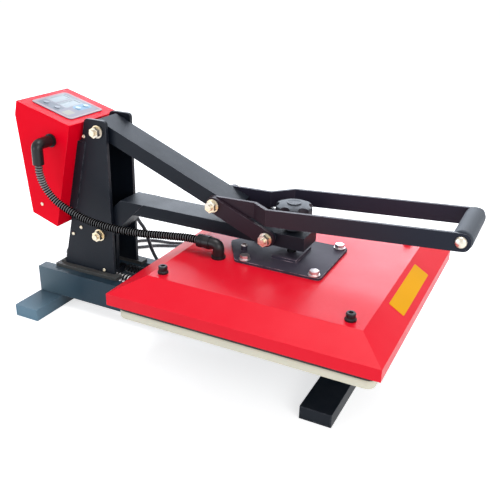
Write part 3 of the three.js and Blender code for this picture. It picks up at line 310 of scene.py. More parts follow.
# %% Brushing
brushing, n, l, given, out = effect("drawn_lines", [("Along", 8.0), ("Across", 900.0)], ["Lines"])
place = n.new("ShaderNodeTexCoord")
sides = n.new("ShaderNodeCombineXYZ")
stretched = n.new("ShaderNodeVectorMath")
stretched.operation = "MULTIPLY"
lines = n.new("ShaderNodeTexNoise")
lines.inputs["Scale"].default_value = 1.0
lines.inputs["Detail"].default_value = 3.0
l.new(given.outputs["Along"], sides.inputs["X"])
l.new(given.outputs["Across"], sides.inputs["Y"])
l.new(given.outputs["Across"], sides.inputs["Z"])
l.new(place.outputs["Object"], stretched.inputs[0])
l.new(sides.outputs["Vector"], stretched.inputs[1])
l.new(stretched.outputs["Vector"], lines.inputs["Vector"])
l.new(lines.outputs["Fac"], out.inputs["Lines"])
print("effect:", brushing.name)

# %% [markdown]
# ## A finish in layers
# Every finish starts from the same shader. Three small functions place an effect in it, blend two
# colours by a mask and turn a height into bumps.

# %% A new finish
def new_finish(name, colour, roughness, metallic=0.0):
    made = bpy.data.materials.new(name)
    made.use_nodes = True
    made.diffuse_color = (*colour, 1)
    nodes = made.node_tree.nodes
    surface = nodes["Principled BSDF"]
    surface.inputs["Base Color"].default_value = (*colour, 1)
    surface.inputs["Roughness"].default_value = roughness
    surface.inputs["Metallic"].default_value = metallic
    return made, nodes, made.node_tree.links, surface


def use(nodes, group, **values):
    node = nodes.new("ShaderNodeGroup")
    node.node_tree = group
    for label, value in values.items():
        node.inputs[label].default_value = value
    return node


def blend_colours(nodes, links, factor, under, over):
    mix = nodes.new("ShaderNodeMix")
    mix.data_type = "RGBA"
    links.new(factor, mix.inputs["Factor"])
    for socket, value in ((mix.inputs["A"], under), (mix.inputs["B"], over)):
        if isinstance(value, tuple):
            socket.default_value = (*value, 1)
        else:
            links.new(value, socket)
    return mix.outputs["Result"]


def add_bump(nodes, links, surface, height, strength, distance=0.0004):
    bump = nodes.new("ShaderNodeBump")
    bump.inputs["Strength"].default_value = strength
    bump.inputs["Distance"].default_value = distance
    links.new(height, bump.inputs["Height"])
    links.new(bump.outputs["Normal"], surface.inputs["Normal"])
    return bump


print("finishes of the solids:", len(bpy.data.materials))

# %% [markdown]
# Most of the press is one of a few finishes: a coat, its mottled tone, the worn colour at the edges
# and a little dust on top. One function lays those layers and takes the colours and strengths.
# The roughness, the metal and the gloss that don't change stay on the shader's own sockets.

# %% Layered finish
ROUGHNESS_SPREAD = 0.12


def coated(name, colour, shade, worn, roughness, size=900.0, peel=0.25, rub=0.5, radius=0.0012,
           dusting=0.2, dust_colour=(0.42, 0.41, 0.42), shine=0.5):
    made, nodes, links, surface = new_finish(name, colour, roughness)
    surface.inputs["Specular IOR Level"].default_value = shine
    skin = use(nodes, grain, Size=size)
    edges = use(nodes, wear, Amount=rub, Radius=radius)
    film = use(nodes, dust, Amount=dusting)
    toned = blend_colours(nodes, links, skin.outputs["Tone"], colour, shade)
    rubbed = blend_colours(nodes, links, edges.outputs["Mask"], toned, worn)
    dusted = blend_colours(nodes, links, film.outputs["Mask"], rubbed, dust_colour)
    links.new(dusted, surface.inputs["Base Color"])
    half = ROUGHNESS_SPREAD / 2
    tone = skin.outputs["Tone"]
    rough = ramp_between(nodes, links, tone, 0.25, 0.75, roughness - half, roughness + half)
    links.new(rough, surface.inputs["Roughness"])
    add_bump(nodes, links, surface, skin.outputs["Height"], peel)
    return made


print("layers: coat, tone, rubbed edges, dust")

# %% [markdown]
# ## The finishes of the press
# Black and red powder coat, yellowish zinc on the bolts, black moulded plastic, and cast aluminium for
# the heating plate, which is painted nearly black as painted shade. Black powder coat is a dark slate,
# never pure black, and its edges go to a paler grey. The rear foot and the rails are painted a paler
# blue-grey and the base plate a paler grey, as painted light, and the mounting plate a paler
# purple-grey that is partly a painted sheen. The red is deep, with a gloss that washes it pink where it
# faces the light, and its pale pink dust is partly a painted sheen; the control box is the more
# saturated one.

# %% Coats and plastics
POWDER = {"roughness": 0.42, "size": 1100.0, "peel": 0.22, "rub": 0.6, "dusting": 0.04, "shine": 0.18}
# On the red, the pale pink dust colour is partly dust and partly a painted sheen on faces that look up.
RED = {"size": 1000.0, "peel": 0.14, "rub": 0.30, "dusting": 0.03, "dust_colour": (0.95, 0.35, 0.36)}
KEY = {"roughness": 0.35, "size": 1600.0, "peel": 0.08, "rub": 0.1, "dusting": 0.0, "radius": 0.0004}


def powder(name, colour, shade, worn, **changes):
    return coated(name, colour, shade, worn, **{**POWDER, **changes})


black_powder = powder("black_powder", (0.009, 0.013, 0.021), (0.006, 0.009, 0.015), (0.17, 0.18, 0.21))
# The rear foot's paler blue-grey is painted light on a black coat.
painted_lit_powder = powder(
    "painted_lit_powder", (0.022, 0.040, 0.058), (0.017, 0.032, 0.048), (0.24, 0.30, 0.35),
    roughness=0.46, shine=0.22,
)
# The rails' blue tint is painted light on a black coat.
painted_lit_rail_powder = powder(
    "painted_lit_rail_powder", (0.018, 0.045, 0.070), (0.014, 0.036, 0.056), (0.20, 0.23, 0.26), shine=0.22,
)
bar_powder = powder("bar_powder", (0.027, 0.014, 0.023), (0.020, 0.010, 0.017), (0.20, 0.18, 0.21))
far_bar_powder = powder(
    "far_bar_powder", (0.024, 0.022, 0.038), (0.018, 0.016, 0.030), (0.20, 0.20, 0.24),
)
# The mounting plate's paler purple-grey is partly a painted sheen.
mount_powder_painted_sheen = powder(
    "mount_powder_painted_sheen", (0.050, 0.041, 0.062), (0.038, 0.032, 0.049), (0.55, 0.42, 0.48),
    roughness=0.52, rub=1.0, dusting=0.05, shine=0.12,
)
# The base plate's paler grey is painted light on its top.
painted_lit_plate_powder = powder(
    "painted_lit_plate_powder", (0.075, 0.078, 0.076), (0.058, 0.061, 0.060), (0.22, 0.22, 0.22),
    roughness=0.48, dusting=0.06, shine=0.2,
)
red_powder = coated(
    "red_powder", (0.87, 0.005, 0.026), (0.80, 0.003, 0.020), (0.98, 0.16, 0.18),
    roughness=0.36, shine=0.20, **RED,
)
red_box_powder = coated(
    "red_box_powder", (0.97, 0.001, 0.020), (0.91, 0.0005, 0.016), (0.98, 0.20, 0.24),
    roughness=0.40, shine=0.06, **RED,
)
black_plastic = coated(
    "black_plastic", (0.008, 0.008, 0.010), (0.013, 0.013, 0.015), (0.07, 0.07, 0.075),
    roughness=0.32, size=1600.0, peel=0.12, rub=0.25, dusting=0.03, shine=0.32,
)
knob_plastic = coated(
    "knob_plastic", (0.026, 0.032, 0.045), (0.018, 0.022, 0.032), (0.16, 0.17, 0.19),
    roughness=0.48, size=1300.0, peel=0.35, rub=0.45, dusting=0.05, shine=0.40,
)
button_plastic = coated(
    "button_plastic", (0.20, 0.22, 0.27), (0.16, 0.18, 0.23), (0.4, 0.4, 0.42), **KEY,
)
button_pale = coated("button_pale", (0.42, 0.60, 0.72), (0.36, 0.54, 0.67), (0.6, 0.7, 0.78), **KEY)
print("finishes so far, with those of the solids:", len(bpy.data.materials))

# %% [markdown]
# The light isn't the same from end to end: the rear foot and the rear of the rails are painted paler
# towards their ends, as painted light, and the near handle bar is painted darker towards the grip. A
# ramp along one axis mixes the second colour in.

# %% Colour graded along a part
def graded_along(material, axis, start, end, second):
    """Lets a coat change along an axis, from its own colour at start to the second one at end."""
    nodes, links = material.node_tree.nodes, material.node_tree.links
    surface = nodes["Principled BSDF"]
    place = nodes.new("ShaderNodeTexCoord")
    parts = nodes.new("ShaderNodeSeparateXYZ")
    links.new(place.outputs["Object"], parts.inputs["Vector"])
    share = ramp_between(nodes, links, parts.outputs[axis], start, end)
    first = surface.inputs["Base Color"].links[0].from_socket
    both = blend_colours(nodes, links, share, first, second)
    links.new(both, surface.inputs["Base Color"])


# Painted light on the rails and the rear foot; the bar goes darker towards the grip.
graded_along(painted_lit_rail_powder, "X", -0.26, -0.37, (0.12, 0.18, 0.22))
graded_along(painted_lit_powder, "Y", -0.040, -0.170, (0.195, 0.345, 0.460))
graded_along(bar_powder, "X", 0.12, 0.30, (0.012, 0.016, 0.028))
print("coats that fade: 3")

# %% [markdown]
# Bare metal is its own colour of reflection. Zinc plate on bolts has a warm passivation that changes
# from yellow to blue-grey, so the tone noise mixes two metal colours. Turning marks follow X.

# %% Bare metals
def bare_metal(name, colour, other, roughness):
    made, nodes, links, surface = new_finish(name, colour, roughness, metallic=1.0)
    skin = use(nodes, grain, Size=500.0, Mottle=60.0)
    drawn = use(nodes, brushing, Along=30.0, Across=900.0)
    contrast = ramp_between(nodes, links, skin.outputs["Tone"], 0.35, 0.65)
    toned = blend_colours(nodes, links, contrast, colour, other)
    links.new(toned, surface.inputs["Base Color"])
    marks = drawn.outputs["Lines"]
    rough = ramp_between(nodes, links, marks, 0.3, 0.7, roughness * 0.75, roughness * 1.3)
    links.new(rough, surface.inputs["Roughness"])
    add_bump(nodes, links, surface, marks, strength=0.15, distance=0.0002)
    return made


zinc_plate = bare_metal("zinc_plate", (0.80, 0.68, 0.46), (0.64, 0.60, 0.54), 0.30)
bright_zinc = bare_metal("bright_zinc", (0.70, 0.63, 0.62), (0.54, 0.50, 0.52), 0.34)
spring_steel = bare_metal("spring_steel", (0.92, 0.92, 0.92), (0.82, 0.82, 0.84), 0.30)
# Black oxide is real on the pressure screw; on the far spring its black is painted shade.
black_oxide_and_painted_shade = bare_metal("black_oxide_and_painted_shade", (0.035, 0.035, 0.04), (0.02, 0.02, 0.024), 0.42)
# The heating plate's near-black is painted shade; cast aluminium itself is pale.
aluminium_painted_shade = bare_metal("aluminium_painted_shade", (0.060, 0.050, 0.050), (0.040, 0.035, 0.036), 0.58)
brass_pin = bare_metal("brass_pin", (0.78, 0.66, 0.38), (0.70, 0.60, 0.36), 0.22)
print("metals ready")

# %% [markdown]
# An attribute of the mesh says how much light falls on each part of the spring wire, and the finish
# mixes a painted shade in everywhere else.

# %% Painted shade on the wire
def painted_shade_by_attribute(material, attribute, shade_colour):
    """Lets the attribute choose between the painted shade (0) and the finish's own colour (1)."""
    nodes, links = material.node_tree.nodes, material.node_tree.links
    surface = nodes["Principled BSDF"]
    read = nodes.new("ShaderNodeAttribute")
    read.attribute_name = attribute
    lit_colour = surface.inputs["Base Color"].links[0].from_socket
    both = blend_colours(nodes, links, read.outputs["Fac"], shade_colour, lit_colour)
    links.new(both, surface.inputs["Base Color"])


# The spring wire gets painted shade inside, under and behind its turns.
painted_shade_by_attribute(spring_steel, "lit_share", (0.02, 0.02, 0.02))
print("painted_shade:", spring_steel.name)

# %% [markdown]
# ## Soft finishes
# Silicone sponge is cream, a little translucent and covered with pores too small to count. The grip
# is closed-cell foam: dark, dull and pitted. The cord is soft PVC with a low sheen.

# %% Sponge, foam, rubber and fibre
def spongy(name, colour, shade, roughness, pores, depth, glow=0.0):
    made, nodes, links, surface = new_finish(name, colour, roughness)
    place = nodes.new("ShaderNodeTexCoord")
    cells = nodes.new("ShaderNodeTexVoronoi")
    cells.inputs["Scale"].default_value = pores
    skin = use(nodes, grain, Size=pores * 0.6, Mottle=18.0)
    links.new(place.outputs["Object"], cells.inputs["Vector"])
    pitted = maths(nodes, links, "ADD", cells.outputs["Distance"], skin.outputs["Height"])
    toned = blend_colours(nodes, links, skin.outputs["Tone"], colour, shade)
    links.new(toned, surface.inputs["Base Color"])
    surface.inputs["Subsurface Weight"].default_value = glow
    surface.inputs["Subsurface Radius"].default_value = (0.004, 0.003, 0.002)
    add_bump(nodes, links, surface, pitted, depth, 0.0005)
    return made


silicone_sponge = spongy(
    "silicone_sponge", (0.76, 0.73, 0.60), (0.69, 0.66, 0.53), 0.62, 900.0, 0.35, glow=0.12,
)
grip_foam = spongy("grip_foam", (0.062, 0.076, 0.098), (0.046, 0.057, 0.075), 0.62, 1400.0, 0.55)
cord_rubber = spongy("cord_rubber", (0.030, 0.032, 0.040), (0.040, 0.043, 0.052), 0.26, 2500.0, 0.08)
fibre_batt = spongy("fibre_batt", (0.80, 0.78, 0.70), (0.66, 0.63, 0.55), 0.95, 420.0, 0.9)
circuit_green = coated(
    "circuit_green", (0.02, 0.12, 0.06), (0.015, 0.09, 0.045), (0.3, 0.28, 0.1),
    roughness=0.35, peel=0.1,
)
print("soft finishes ready")

# %% [markdown]
# The hose is thin polyethylene, glossy on the top of every rib and dull in the grooves. Its colour
# carries painted light too: pale grey on the rib tops as a painted highlight, and black in the grooves
# as painted shade. The hose carries an attribute that is 1 on a rib and 0 in a groove. The finish reads
# it for its colour, its roughness and its shine, so the gloss and the painted light follow the ribs
# round every bend.

# %% Ribbed plastic
hose_plastic, nodes, links, surface = new_finish("hose_plastic", (0.02, 0.02, 0.022), 0.30)
crest_read = nodes.new("ShaderNodeAttribute")
crest_read.attribute_name = "crest"
skin = use(nodes, grain, Size=1500.0)
rib = crest_read.outputs["Fac"]
# A painted highlight on the rib tops and painted shade in the grooves.
painted_rib_light = blend_colours(nodes, links, rib, (0.001, 0.001, 0.001), (0.26, 0.26, 0.27))
rough = ramp_between(nodes, links, rib, 0.0, 1.0, 0.9, 0.20)
shine = ramp_between(nodes, links, rib, 0.3, 1.0, 0.0, 1.0)
links.new(painted_rib_light, surface.inputs["Base Color"])
links.new(rough, surface.inputs["Roughness"])
links.new(shine, surface.inputs["Specular IOR Level"])
add_bump(nodes, links, surface, skin.outputs["Height"], 0.1)
print("finishes, with those of the solids:", len(bpy.data.materials))

# %% [markdown]
# ## The mains lead
# The lead leaves a gland on the far side of the control box, drops behind the column to the table
# and runs into a coil, because nobody stretches a lead for a picture. It is one Bézier curve with a
# round section: a curve bends smoothly through few points. It leaves the gland straight for two
# diameters, and no bend is tighter than four. The whole lead is 1.96 m long.

# %% The length of a line
def line_length(line):
    return sum((b - a).length for a, b in zip(line, line[1:]))


print("a metre in two steps:", line_length([Vector((0, 0, 0)), Vector((0, 0, 0.5)), Vector((0, 0, 1))]))

# %% [markdown]
# The coil lies flat behind the press: the turns close in layer by layer, cross once in the middle
# and open again, so both ends come out at the rim, one on the table and one on top of the turns.

# %% The lead's line
CORD = 3.5
LOW, HIGH = CORD + 0.3, CORD + 8.3
COIL_X, COIL_Y, COIL_R = -506, 136, 46
GLAND_X, GLAND_Z = -425.43, 205.5
gland_tip = at(GLAND_X, 92.3, GLAND_Z)
down = [
    gland_tip, at(GLAND_X, 100, GLAND_Z), at(GLAND_X, 107.5, GLAND_Z), at(-423.7, 122.5, 201.7),
    at(-418.9, 133.3, 191.4), at(-412.4, 137.3, 177.5), at(-398, 135, 148), at(-386, 132, 123),
    at(-374, 128.8, 105.8), at(-360, 127, 91.5), at(-350.5, 125, 72), at(-341, 124, 49.5),
    at(-326, 127.5, 24.5), at(-304, 138, 7.6), at(-282, 158, LOW), at(-270, 192, LOW),
    at(-274, 230, LOW), at(-294, 262, LOW), at(-326, 279, LOW), at(-360, 275, LOW),
    at(-390, 264, LOW), at(-418, 259.5, LOW), at(-442, 250, LOW), at(-459, 234, LOW),
    at(-467, 214, LOW), at(-472.7, 197.2, LOW), at(-486, 185.5, LOW),
]
coil = []
STEPS, TURNS, PITCH_IN = 24, 4.75, 7.5
for i in range(int(TURNS * STEPS) + 1):
    angle = math.pi / 2 + 2 * math.pi * i / STEPS
    radius = COIL_R - PITCH_IN * min(i, TURNS * STEPS - i) / STEPS
    climb = min(1.0, max(0.0, (i - TURNS * STEPS / 2 + STEPS / 4) / (STEPS / 2)))
    x, y = COIL_X + radius * math.cos(angle), COIL_Y + radius * math.sin(angle)
    coil.append(at(x, y, LOW + (HIGH - LOW) * climb))
out_to_plug = [
    at(COIL_X + COIL_R, COIL_Y + 8, HIGH), at(-459, 162, HIGH + 0.2), at(-451, 189, LOW + 3.5),
    at(-433, 214, LOW), at(-410, 235.5, LOW), at(-383, 246.5, LOW + 1), at(-364, 248, 7.8),
    at(-353.3, 248, 8.2),
]
lead_line = [*down, *coil, *out_to_plug]
print("points:", len(down), "+", len(coil), "+", len(out_to_plug))
print("length:", round(line_length(lead_line), 3), "m")

# %% [markdown]
# A curve with a round bevel is a wire: its points need no section of their own, and it stays smooth
# where a swept mesh would show its steps. The springs use the same helper.

# %% A round wire along a line
def wire(name, line, radius, roundness=4):
    data = bpy.data.curves.new(name, "CURVE")
    data.dimensions = "3D"
    data.bevel_depth = radius
    data.bevel_resolution = roundness
    data.resolution_u = 4
    data.use_fill_caps = True
    spline = data.splines.new("BEZIER")
    spline.bezier_points.add(len(line) - 1)
    for point, place in zip(spline.bezier_points, line):
        point.co = place
        point.handle_left_type = point.handle_right_type = "AUTO"
    return placed(name, data)


mains_lead = wire("mains_lead", lead_line, CORD * MM)
mains_lead.data.materials.append(cord_rubber)
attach(mains_lead, "base")
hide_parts("mains_cord", "cord_coil", "plug_cord")
print("made:", mains_lead.name)

# %% [markdown]
# ## Copies with soft edges
# No folded, cut or moulded part has a sharp edge: even a sheared plate shows a thin bright line where
# its edge turns. The solids have sharp ones. So a part that shows is copied, its triangles are
# joined into flat faces again, and a Bevel modifier breaks every edge by a fraction of a millimetre.
# Weighted normals then keep the flats flat.

# %% Soften a part
def copy_of(node, name):
    piece = placed(name, frame["nodes"][node].data.copy())
    piece.data.name = name
    piece.data.materials.clear()
    alone(piece)
    bpy.ops.object.mode_set(mode="EDIT")
    bpy.ops.mesh.select_all(action="SELECT")
    bpy.ops.mesh.customdata_custom_splitnormals_clear()
    bpy.ops.mesh.remove_doubles(threshold=0.00001)
    bpy.ops.mesh.dissolve_limited(angle_limit=math.radians(0.6))
    bpy.ops.object.mode_set(mode="OBJECT")
    return piece


def round_edges(piece, width, segments=2, angle=32):
    alone(piece)
    bpy.ops.object.shade_smooth()
    soft = piece.modifiers.new("soft_edges", "BEVEL")
    soft.width = width
    soft.segments = segments
    soft.limit_method = "ANGLE"
    soft.angle_limit = math.radians(angle)
    soft.miter_outer = "MITER_ARC"
    bpy.ops.object.modifier_apply(modifier=soft.name)
    bpy.ops.object.shade_smooth_by_angle(angle=math.radians(40))
    flats = piece.modifiers.new("flat_faces", "WEIGHTED_NORMAL")
    flats.keep_sharp = True
    flats.weight = 80
    bpy.ops.object.modifier_apply(modifier=flats.name)
    return piece


print("largest solid, in corners:", max(len(o.data.vertices) for o in frame["nodes"].values()))

# %% [markdown]
# A softened copy takes its finish, rides on the body of its solid and stands in for it.

# %% Finish a part
def body_of(node):
    return frame["nodes"][node]["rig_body"]


def finish_as(piece, material, body):
    piece.data.materials.clear()
    piece.data.materials.append(material)
    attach(piece, body)
    return piece


def softened(node, name, material, width, segments=2, angle=32):
    piece = round_edges(copy_of(node, name), width, segments, angle)
    finish_as(piece, material, body_of(node))
    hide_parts(node)
    return piece


# %% [markdown]
# ## Frame and column
# Square tube has rolled corners of about 2 mm. The column's cheeks and the base plate are cut from
# sheet, so their edges break by half a millimetre.

# %% Frame, column and base plate
softened("rear_foot", "rear_foot_tube", painted_lit_powder, 0.0022, 3)
softened("front_foot", "front_foot_tube", black_powder, 0.0022, 3)
for node in ("rail_near", "rail_far"):
    softened(node, node + "_tube", painted_lit_rail_powder, 0.0020, 3)
softened("base_plate", "base_plate_cut", painted_lit_plate_powder, 0.0006)
softened("column", "column_cheeks", black_powder, 0.0006)
softened("lower_platen", "lower_platen_welded", black_powder, 0.0010)
print("frame softened")

# %% [markdown]
# ## Arm, links and lever
# The arm and the upper link are tube too. The links and the handle bars are flat bar with a small
# rolled radius that catches the light along its whole length.

# %% Arm, links and lever
softened("press_arm", "press_arm_tube", black_powder, 0.0016, 3)
softened("upper_link", "upper_link_tube", black_powder, 0.0020, 3)
for node in ("handle_bar_near", "link_plate_near", "link_plate_far"):
    softened(node, node + "_flat", bar_powder, 0.0006)
softened("handle_bar_far", "handle_bar_far_flat", far_bar_powder, 0.0006)
print("arm softened")

# %% [markdown]
# ## The hipped cover and its plates
# The cover is folded sheet: its folds are about 2 mm round. The heating plate under it is a casting.
# The mounting plate on top is laser-cut.

# %% Cover and plates
softened("platen_cover", "platen_cover_folded", red_powder, 0.0009, 3, 12)
# The heating plate is painted nearly black as painted shade.
softened("heating_plate", "heating_plate_cast", aluminium_painted_shade, 0.0010)
STUDS_ABOVE, STUDS_BEHIND = at(0, 0, 176.8).z, at(-60, 0, 0).x
mount = softened("mounting_plate", "mounting_plate_cut", mount_powder_painted_sheen, 0.0005)
mount.data.materials.append(bright_zinc)
for face in mount.data.polygons:
    if face.center.z > STUDS_ABOVE and face.center.x < STUDS_BEHIND:
        face.material_index = 1
softened(
    "controller_housing", "controller_housing_folded", red_box_powder, 0.0012, 3, 12,
)
softened("controller_back", "controller_back_cover", red_box_powder, 0.0003)
print("cover softened")

# %% [markdown]
# ## Fasteners, knob and plugs
# Bolts keep their solid's shape, with broken corners and zinc. The knob and the cover plugs are
# moulded, so their edges are rounder.

# %% Fasteners, knob and plugs
BIG_BOLTS = [f"pivot_bolt_{letter}" for letter in "abcd"] + ["bolt_c_near", "bolt_c_far"]
for node in BIG_BOLTS:
    softened(node, node + "_zinc", zinc_plate, 0.0005)
for i in range(1, 5):
    softened(f"plate_bolt_{i}", f"plate_bolt_{i}_zinc", bright_zinc, 0.0004)
    softened(f"cover_plug_{i}", f"cover_plug_{i}_moulded", black_plastic, 0.0006)
for node in ("grip_bolt_near", "grip_bolt_far"):
    softened(node, node + "_zinc", zinc_plate, 0.0004)
softened("pressure_nut", "pressure_nut_hex", black_powder, 0.0005)
softened("pressure_screw", "pressure_screw_turned", black_oxide_and_painted_shade, 0.0004)
softened("spring_anchor", "spring_anchor_pin", zinc_plate, 0.0005)
softened("handle_grip", "handle_grip_foam", grip_foam, 0.0016, 3)
print("fasteners softened")

# %% [markdown]
# A hand takes hold of the hollows between the knob's lobes, so they are cut deeper here than on the
# solid, with six cylinders and a Boolean modifier.

# %% Star knob
KNOB_X, KNOB_MIDDLE, KNOB_TOP = -2.5, 240.5, 250.8
LOBES, FIRST_HOLLOW, HOLLOW_REACH = 6, 22, 31.2
for k in range(LOBES):
    turn = math.radians(FIRST_HOLLOW + 360 / LOBES * k)
    x, y = KNOB_X + HOLLOW_REACH * math.cos(turn), HOLLOW_REACH * math.sin(turn)
    disc(f"hollow_{k}", 32, 0.0098, 0.026, at(x, y, KNOB_MIDDLE))
for k in range(LOBES):
    bpy.data.objects[f"hollow_{k}"].select_set(True)
bpy.ops.object.join()
hollows = bpy.context.object
knob = copy_of("star_knob", "star_knob_moulded")
deepen = knob.modifiers.new("deepen", "BOOLEAN")
deepen.operation = "DIFFERENCE"
deepen.object = hollows
alone(knob)
bpy.ops.object.modifier_apply(modifier=deepen.name)
bpy.data.objects.remove(hollows)
round_edges(knob, 0.0009, 3)
finish_as(knob, knob_plastic, body_of("star_knob"))
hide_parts("star_knob")
print("knob faces:", len(knob.data.polygons))

# %% [markdown]
# The cap is a separate moulding that snaps into the knob. Its top face is inset and pushed down, which
# leaves the raised rim.

# %% Cap of the knob
knob_cap = disc("knob_cap", 48, 0.0105, 0.0018, at(KNOB_X, 0, KNOB_TOP))
pick_faces(knob_cap, lambda c, d: d.z > 0.9)
bpy.ops.mesh.inset(thickness=0.0022)
bpy.ops.transform.translate(value=(0, 0, -0.0008))
done_editing()
round_edges(knob_cap, 0.0003, 2, 25)
finish_as(knob_cap, knob_plastic, body_of("star_knob"))
print("cap faces:", len(knob_cap.data.polygons))

# %% [markdown]
# ## Control box fittings
# The elbows, the switch and the plug are moulded black plastic. The plug's pins stand out of its
# front, so the faces beyond that front take the brass.

# %% Elbows, switch and plug
for node in ("housing_elbow", "platen_elbow"):
    softened(node, node + "_moulded", black_plastic, 0.0008, 2, 40)
softened("switch_frame", "switch_frame_moulded", black_plastic, 0.0004)
softened("rocker_switch", "rocker_moulded", black_plastic, 0.0003)
softened("cord_gland", "cord_gland_moulded", black_plastic, 0.0005)
mains_plug = softened("mains_plug", "mains_plug_moulded", black_plastic, 0.0005)
mains_plug.data.materials.append(brass_pin)
PLUG_FRONT = at(-311.5, 0, 0).x
for face in mains_plug.data.polygons:
    if face.center.x > PLUG_FRONT:
        face.material_index = 1
print("fittings softened")

# %% [markdown]
# ## Small screws
# Pan-head screws hold the strap, the spring guard and the side of the box. Each starts as a cylinder:
# its top is drawn in and rounded, and a cross of two slots is pressed into it. The first is made
# once, and the others are copies with their own mesh.

# %% Pan-head screws
pan_head = disc("pan_head", 24, 0.0030, 0.0018, (0, 0, 0.0009))
pick_faces(pan_head, lambda c, d: d.z > 0.9)
bpy.ops.mesh.inset(thickness=0.0012)
bpy.ops.transform.translate(value=(0, 0, 0.0006))
bpy.ops.mesh.inset(thickness=0.0008)
bpy.ops.transform.translate(value=(0, 0, -0.0009))
done_editing()
round_edges(pan_head, 0.0002, 2, 25)


def side_screw(name, x, y, z):
    piece = placed(name, pan_head.data.copy())
    piece.data.name = name
    piece.rotation_euler = (math.pi / 2, 0, 0)
    piece.location = at(x, y, z)
    settle(piece)
    return finish_as(piece, zinc_plate, "base")


CHEEK_Y, BOX_Y = -35.8, -62.0
COLUMN_SCREWS = ((-354.5, 310.1), (-374.6, 149.5), (-392.5, 134.4), (-331.3, 79.2))
for i, (x, z) in enumerate(COLUMN_SCREWS):
    side_screw(f"column_screw_{i + 1}", x, CHEEK_Y, z)
side_screw("box_screw", -431.4, BOX_Y, 189.8)
bpy.data.objects.remove(pan_head)
print("screws made")

# %% [markdown]
# ## Panel, display and buttons
# The panel is a flat membrane, so the solids serve as they are, with better finishes.

# %% Panel finishes
panel_membrane = coated(
    "panel_membrane", (0.23, 0.225, 0.285), (0.205, 0.20, 0.26), (0.4, 0.42, 0.45),
    roughness=0.42, peel=0.06, rub=0.15, dusting=0.08, radius=0.0005, shine=0.3,
)
display_glass = coated(
    "display_glass", (0.34, 0.40, 0.44), (0.30, 0.36, 0.40), (0.6, 0.7, 0.7),
    roughness=0.30, peel=0.02, rub=0.0, dusting=0.0, shine=0.2,
)


def print_ink(name, colour):
    darker = tuple(c * 0.85 for c in colour)
    return coated(
        name, colour, darker, colour, roughness=0.42, peel=0.04, rub=0.0, dusting=0.05, shine=0.3
    )


window_ink = print_ink("window_ink", (0.34, 0.385, 0.43))
border_ink = print_ink("border_ink", (0.42, 0.29, 0.33))
key_field_ink = print_ink("key_field_ink", (0.16, 0.185, 0.23))
blue_field_ink = print_ink("blue_field_ink", (0.16, 0.33, 0.52))
pale_field_ink = print_ink("pale_field_ink", (0.35, 0.34, 0.29))


def dress(node, material):
    for slot in frame["nodes"][node].material_slots:
        slot.material = material


dress("controller_panel", panel_membrane)
dress("display_module", display_glass)
dress("circuit_board", circuit_green)
for i in (1, 2):
    dress(f"button_{i}", button_plastic)
for i in (3, 4):
    dress(f"button_{i}", button_pale)
print("panel dressed")

# %% [markdown]
# The membrane carries a few plain printed fields: a dark one round the two grey keys, a blue round
# one under the two pale keys, and a pale one at the front. Each is a thin sheet of ink with rounded
# corners. The pale borders are such sheets too, with their middle taken out: both big faces are inset
# and the two inner ones are bridged. The panel leans, so a place on it is given as a distance back
# from the fold, a distance across and a height, and is turned with it.

# %% Printed fields
LEAN = math.radians(14.9)
FOLD = (-360.43, 331.0)
SHEET_LIFT, INK = 1.5, 0.12


def on_panel(back, across, height):
    return at(
        FOLD[0] - back * math.cos(LEAN) + height * math.sin(LEAN), across,
        FOLD[1] + back * math.sin(LEAN) + height * math.cos(LEAN),
    )


def field(name, ink, back, across, half_back, half_across, corner, border=None):
    piece = slab(name, (2 * half_back * MM, 2 * half_across * MM, INK * MM))
    pick_edges(piece, lambda a, b: abs(a.z - b.z) > 0.0001)
    bpy.ops.mesh.bevel(offset=corner * MM, segments=6, affect="EDGES")
    done_editing()
    if border:
        pick_faces(piece, lambda c, d: abs(d.z) > 0.9)
        bpy.ops.mesh.inset(thickness=border * MM)
        bpy.ops.mesh.bridge_edge_loops()
        done_editing()
    piece.rotation_euler = (0, LEAN, 0)
    piece.location = on_panel(back, across, SHEET_LIFT)
    settle(piece)
    return finish_as(piece, ink, "base")


field("pale_border", border_ink, 55, 0, 41, 42, 7, border=4.5)
field("key_field", key_field_ink, 68.5, -25, 21, 10, 5)
for i, back in enumerate((81, 58)):
    field(f"window_border_{i + 1}", window_ink, back, 9, 10.6, 21.5, 1.5, border=3.2)
field("blue_field", blue_field_ink, 38.3, 16, 8.8, 19, 8.4)
field("pale_field", pale_field_ink, 34, -24, 7, 10, 2.5)
print("fields printed")

# %% [markdown]
# ## The plain plate on the cover
# A plain amber plate, 25.5 by 142 mm, is stuck to the front slope of the cover. It is made flat, its
# four corners are rounded, and it is turned by the angle of the slope.

# %% Amber plate
amber_enamel = coated(
    "amber_enamel", (0.90, 0.43, 0.002), (0.84, 0.38, 0.002), (0.9, 0.6, 0.2),
    roughness=0.40, size=1500.0, peel=0.05, rub=0.1, dusting=0.0, shine=0.08,
)
SLOPE = math.atan2(23.1, 38)
PLATE_SIZE, PLATE_LIFT = (0.0255, 0.142, 0.0005), 0.3
FOOT_X, PLATE_Y, HEIGHT_AT_FOOT, UP_THE_SLOPE = 180, 1.5, 164.7, 18
amber_plate = slab("amber_plate", PLATE_SIZE)
pick_edges(amber_plate, lambda a, b: abs(a.z - b.z) > 0.0002)
bpy.ops.mesh.bevel(offset=0.0015, segments=5, affect="EDGES")
done_editing()
amber_plate.rotation_euler = (0, SLOPE, 0)
surface_z = HEIGHT_AT_FOOT - UP_THE_SLOPE * math.tan(SLOPE)
amber_plate.location = at(
    FOOT_X + PLATE_LIFT * math.sin(SLOPE), PLATE_Y, surface_z + PLATE_LIFT * math.cos(SLOPE)
)
settle(amber_plate)
finish_as(amber_plate, amber_enamel, "platen")
print("amber plate faces:", len(amber_plate.data.polygons))

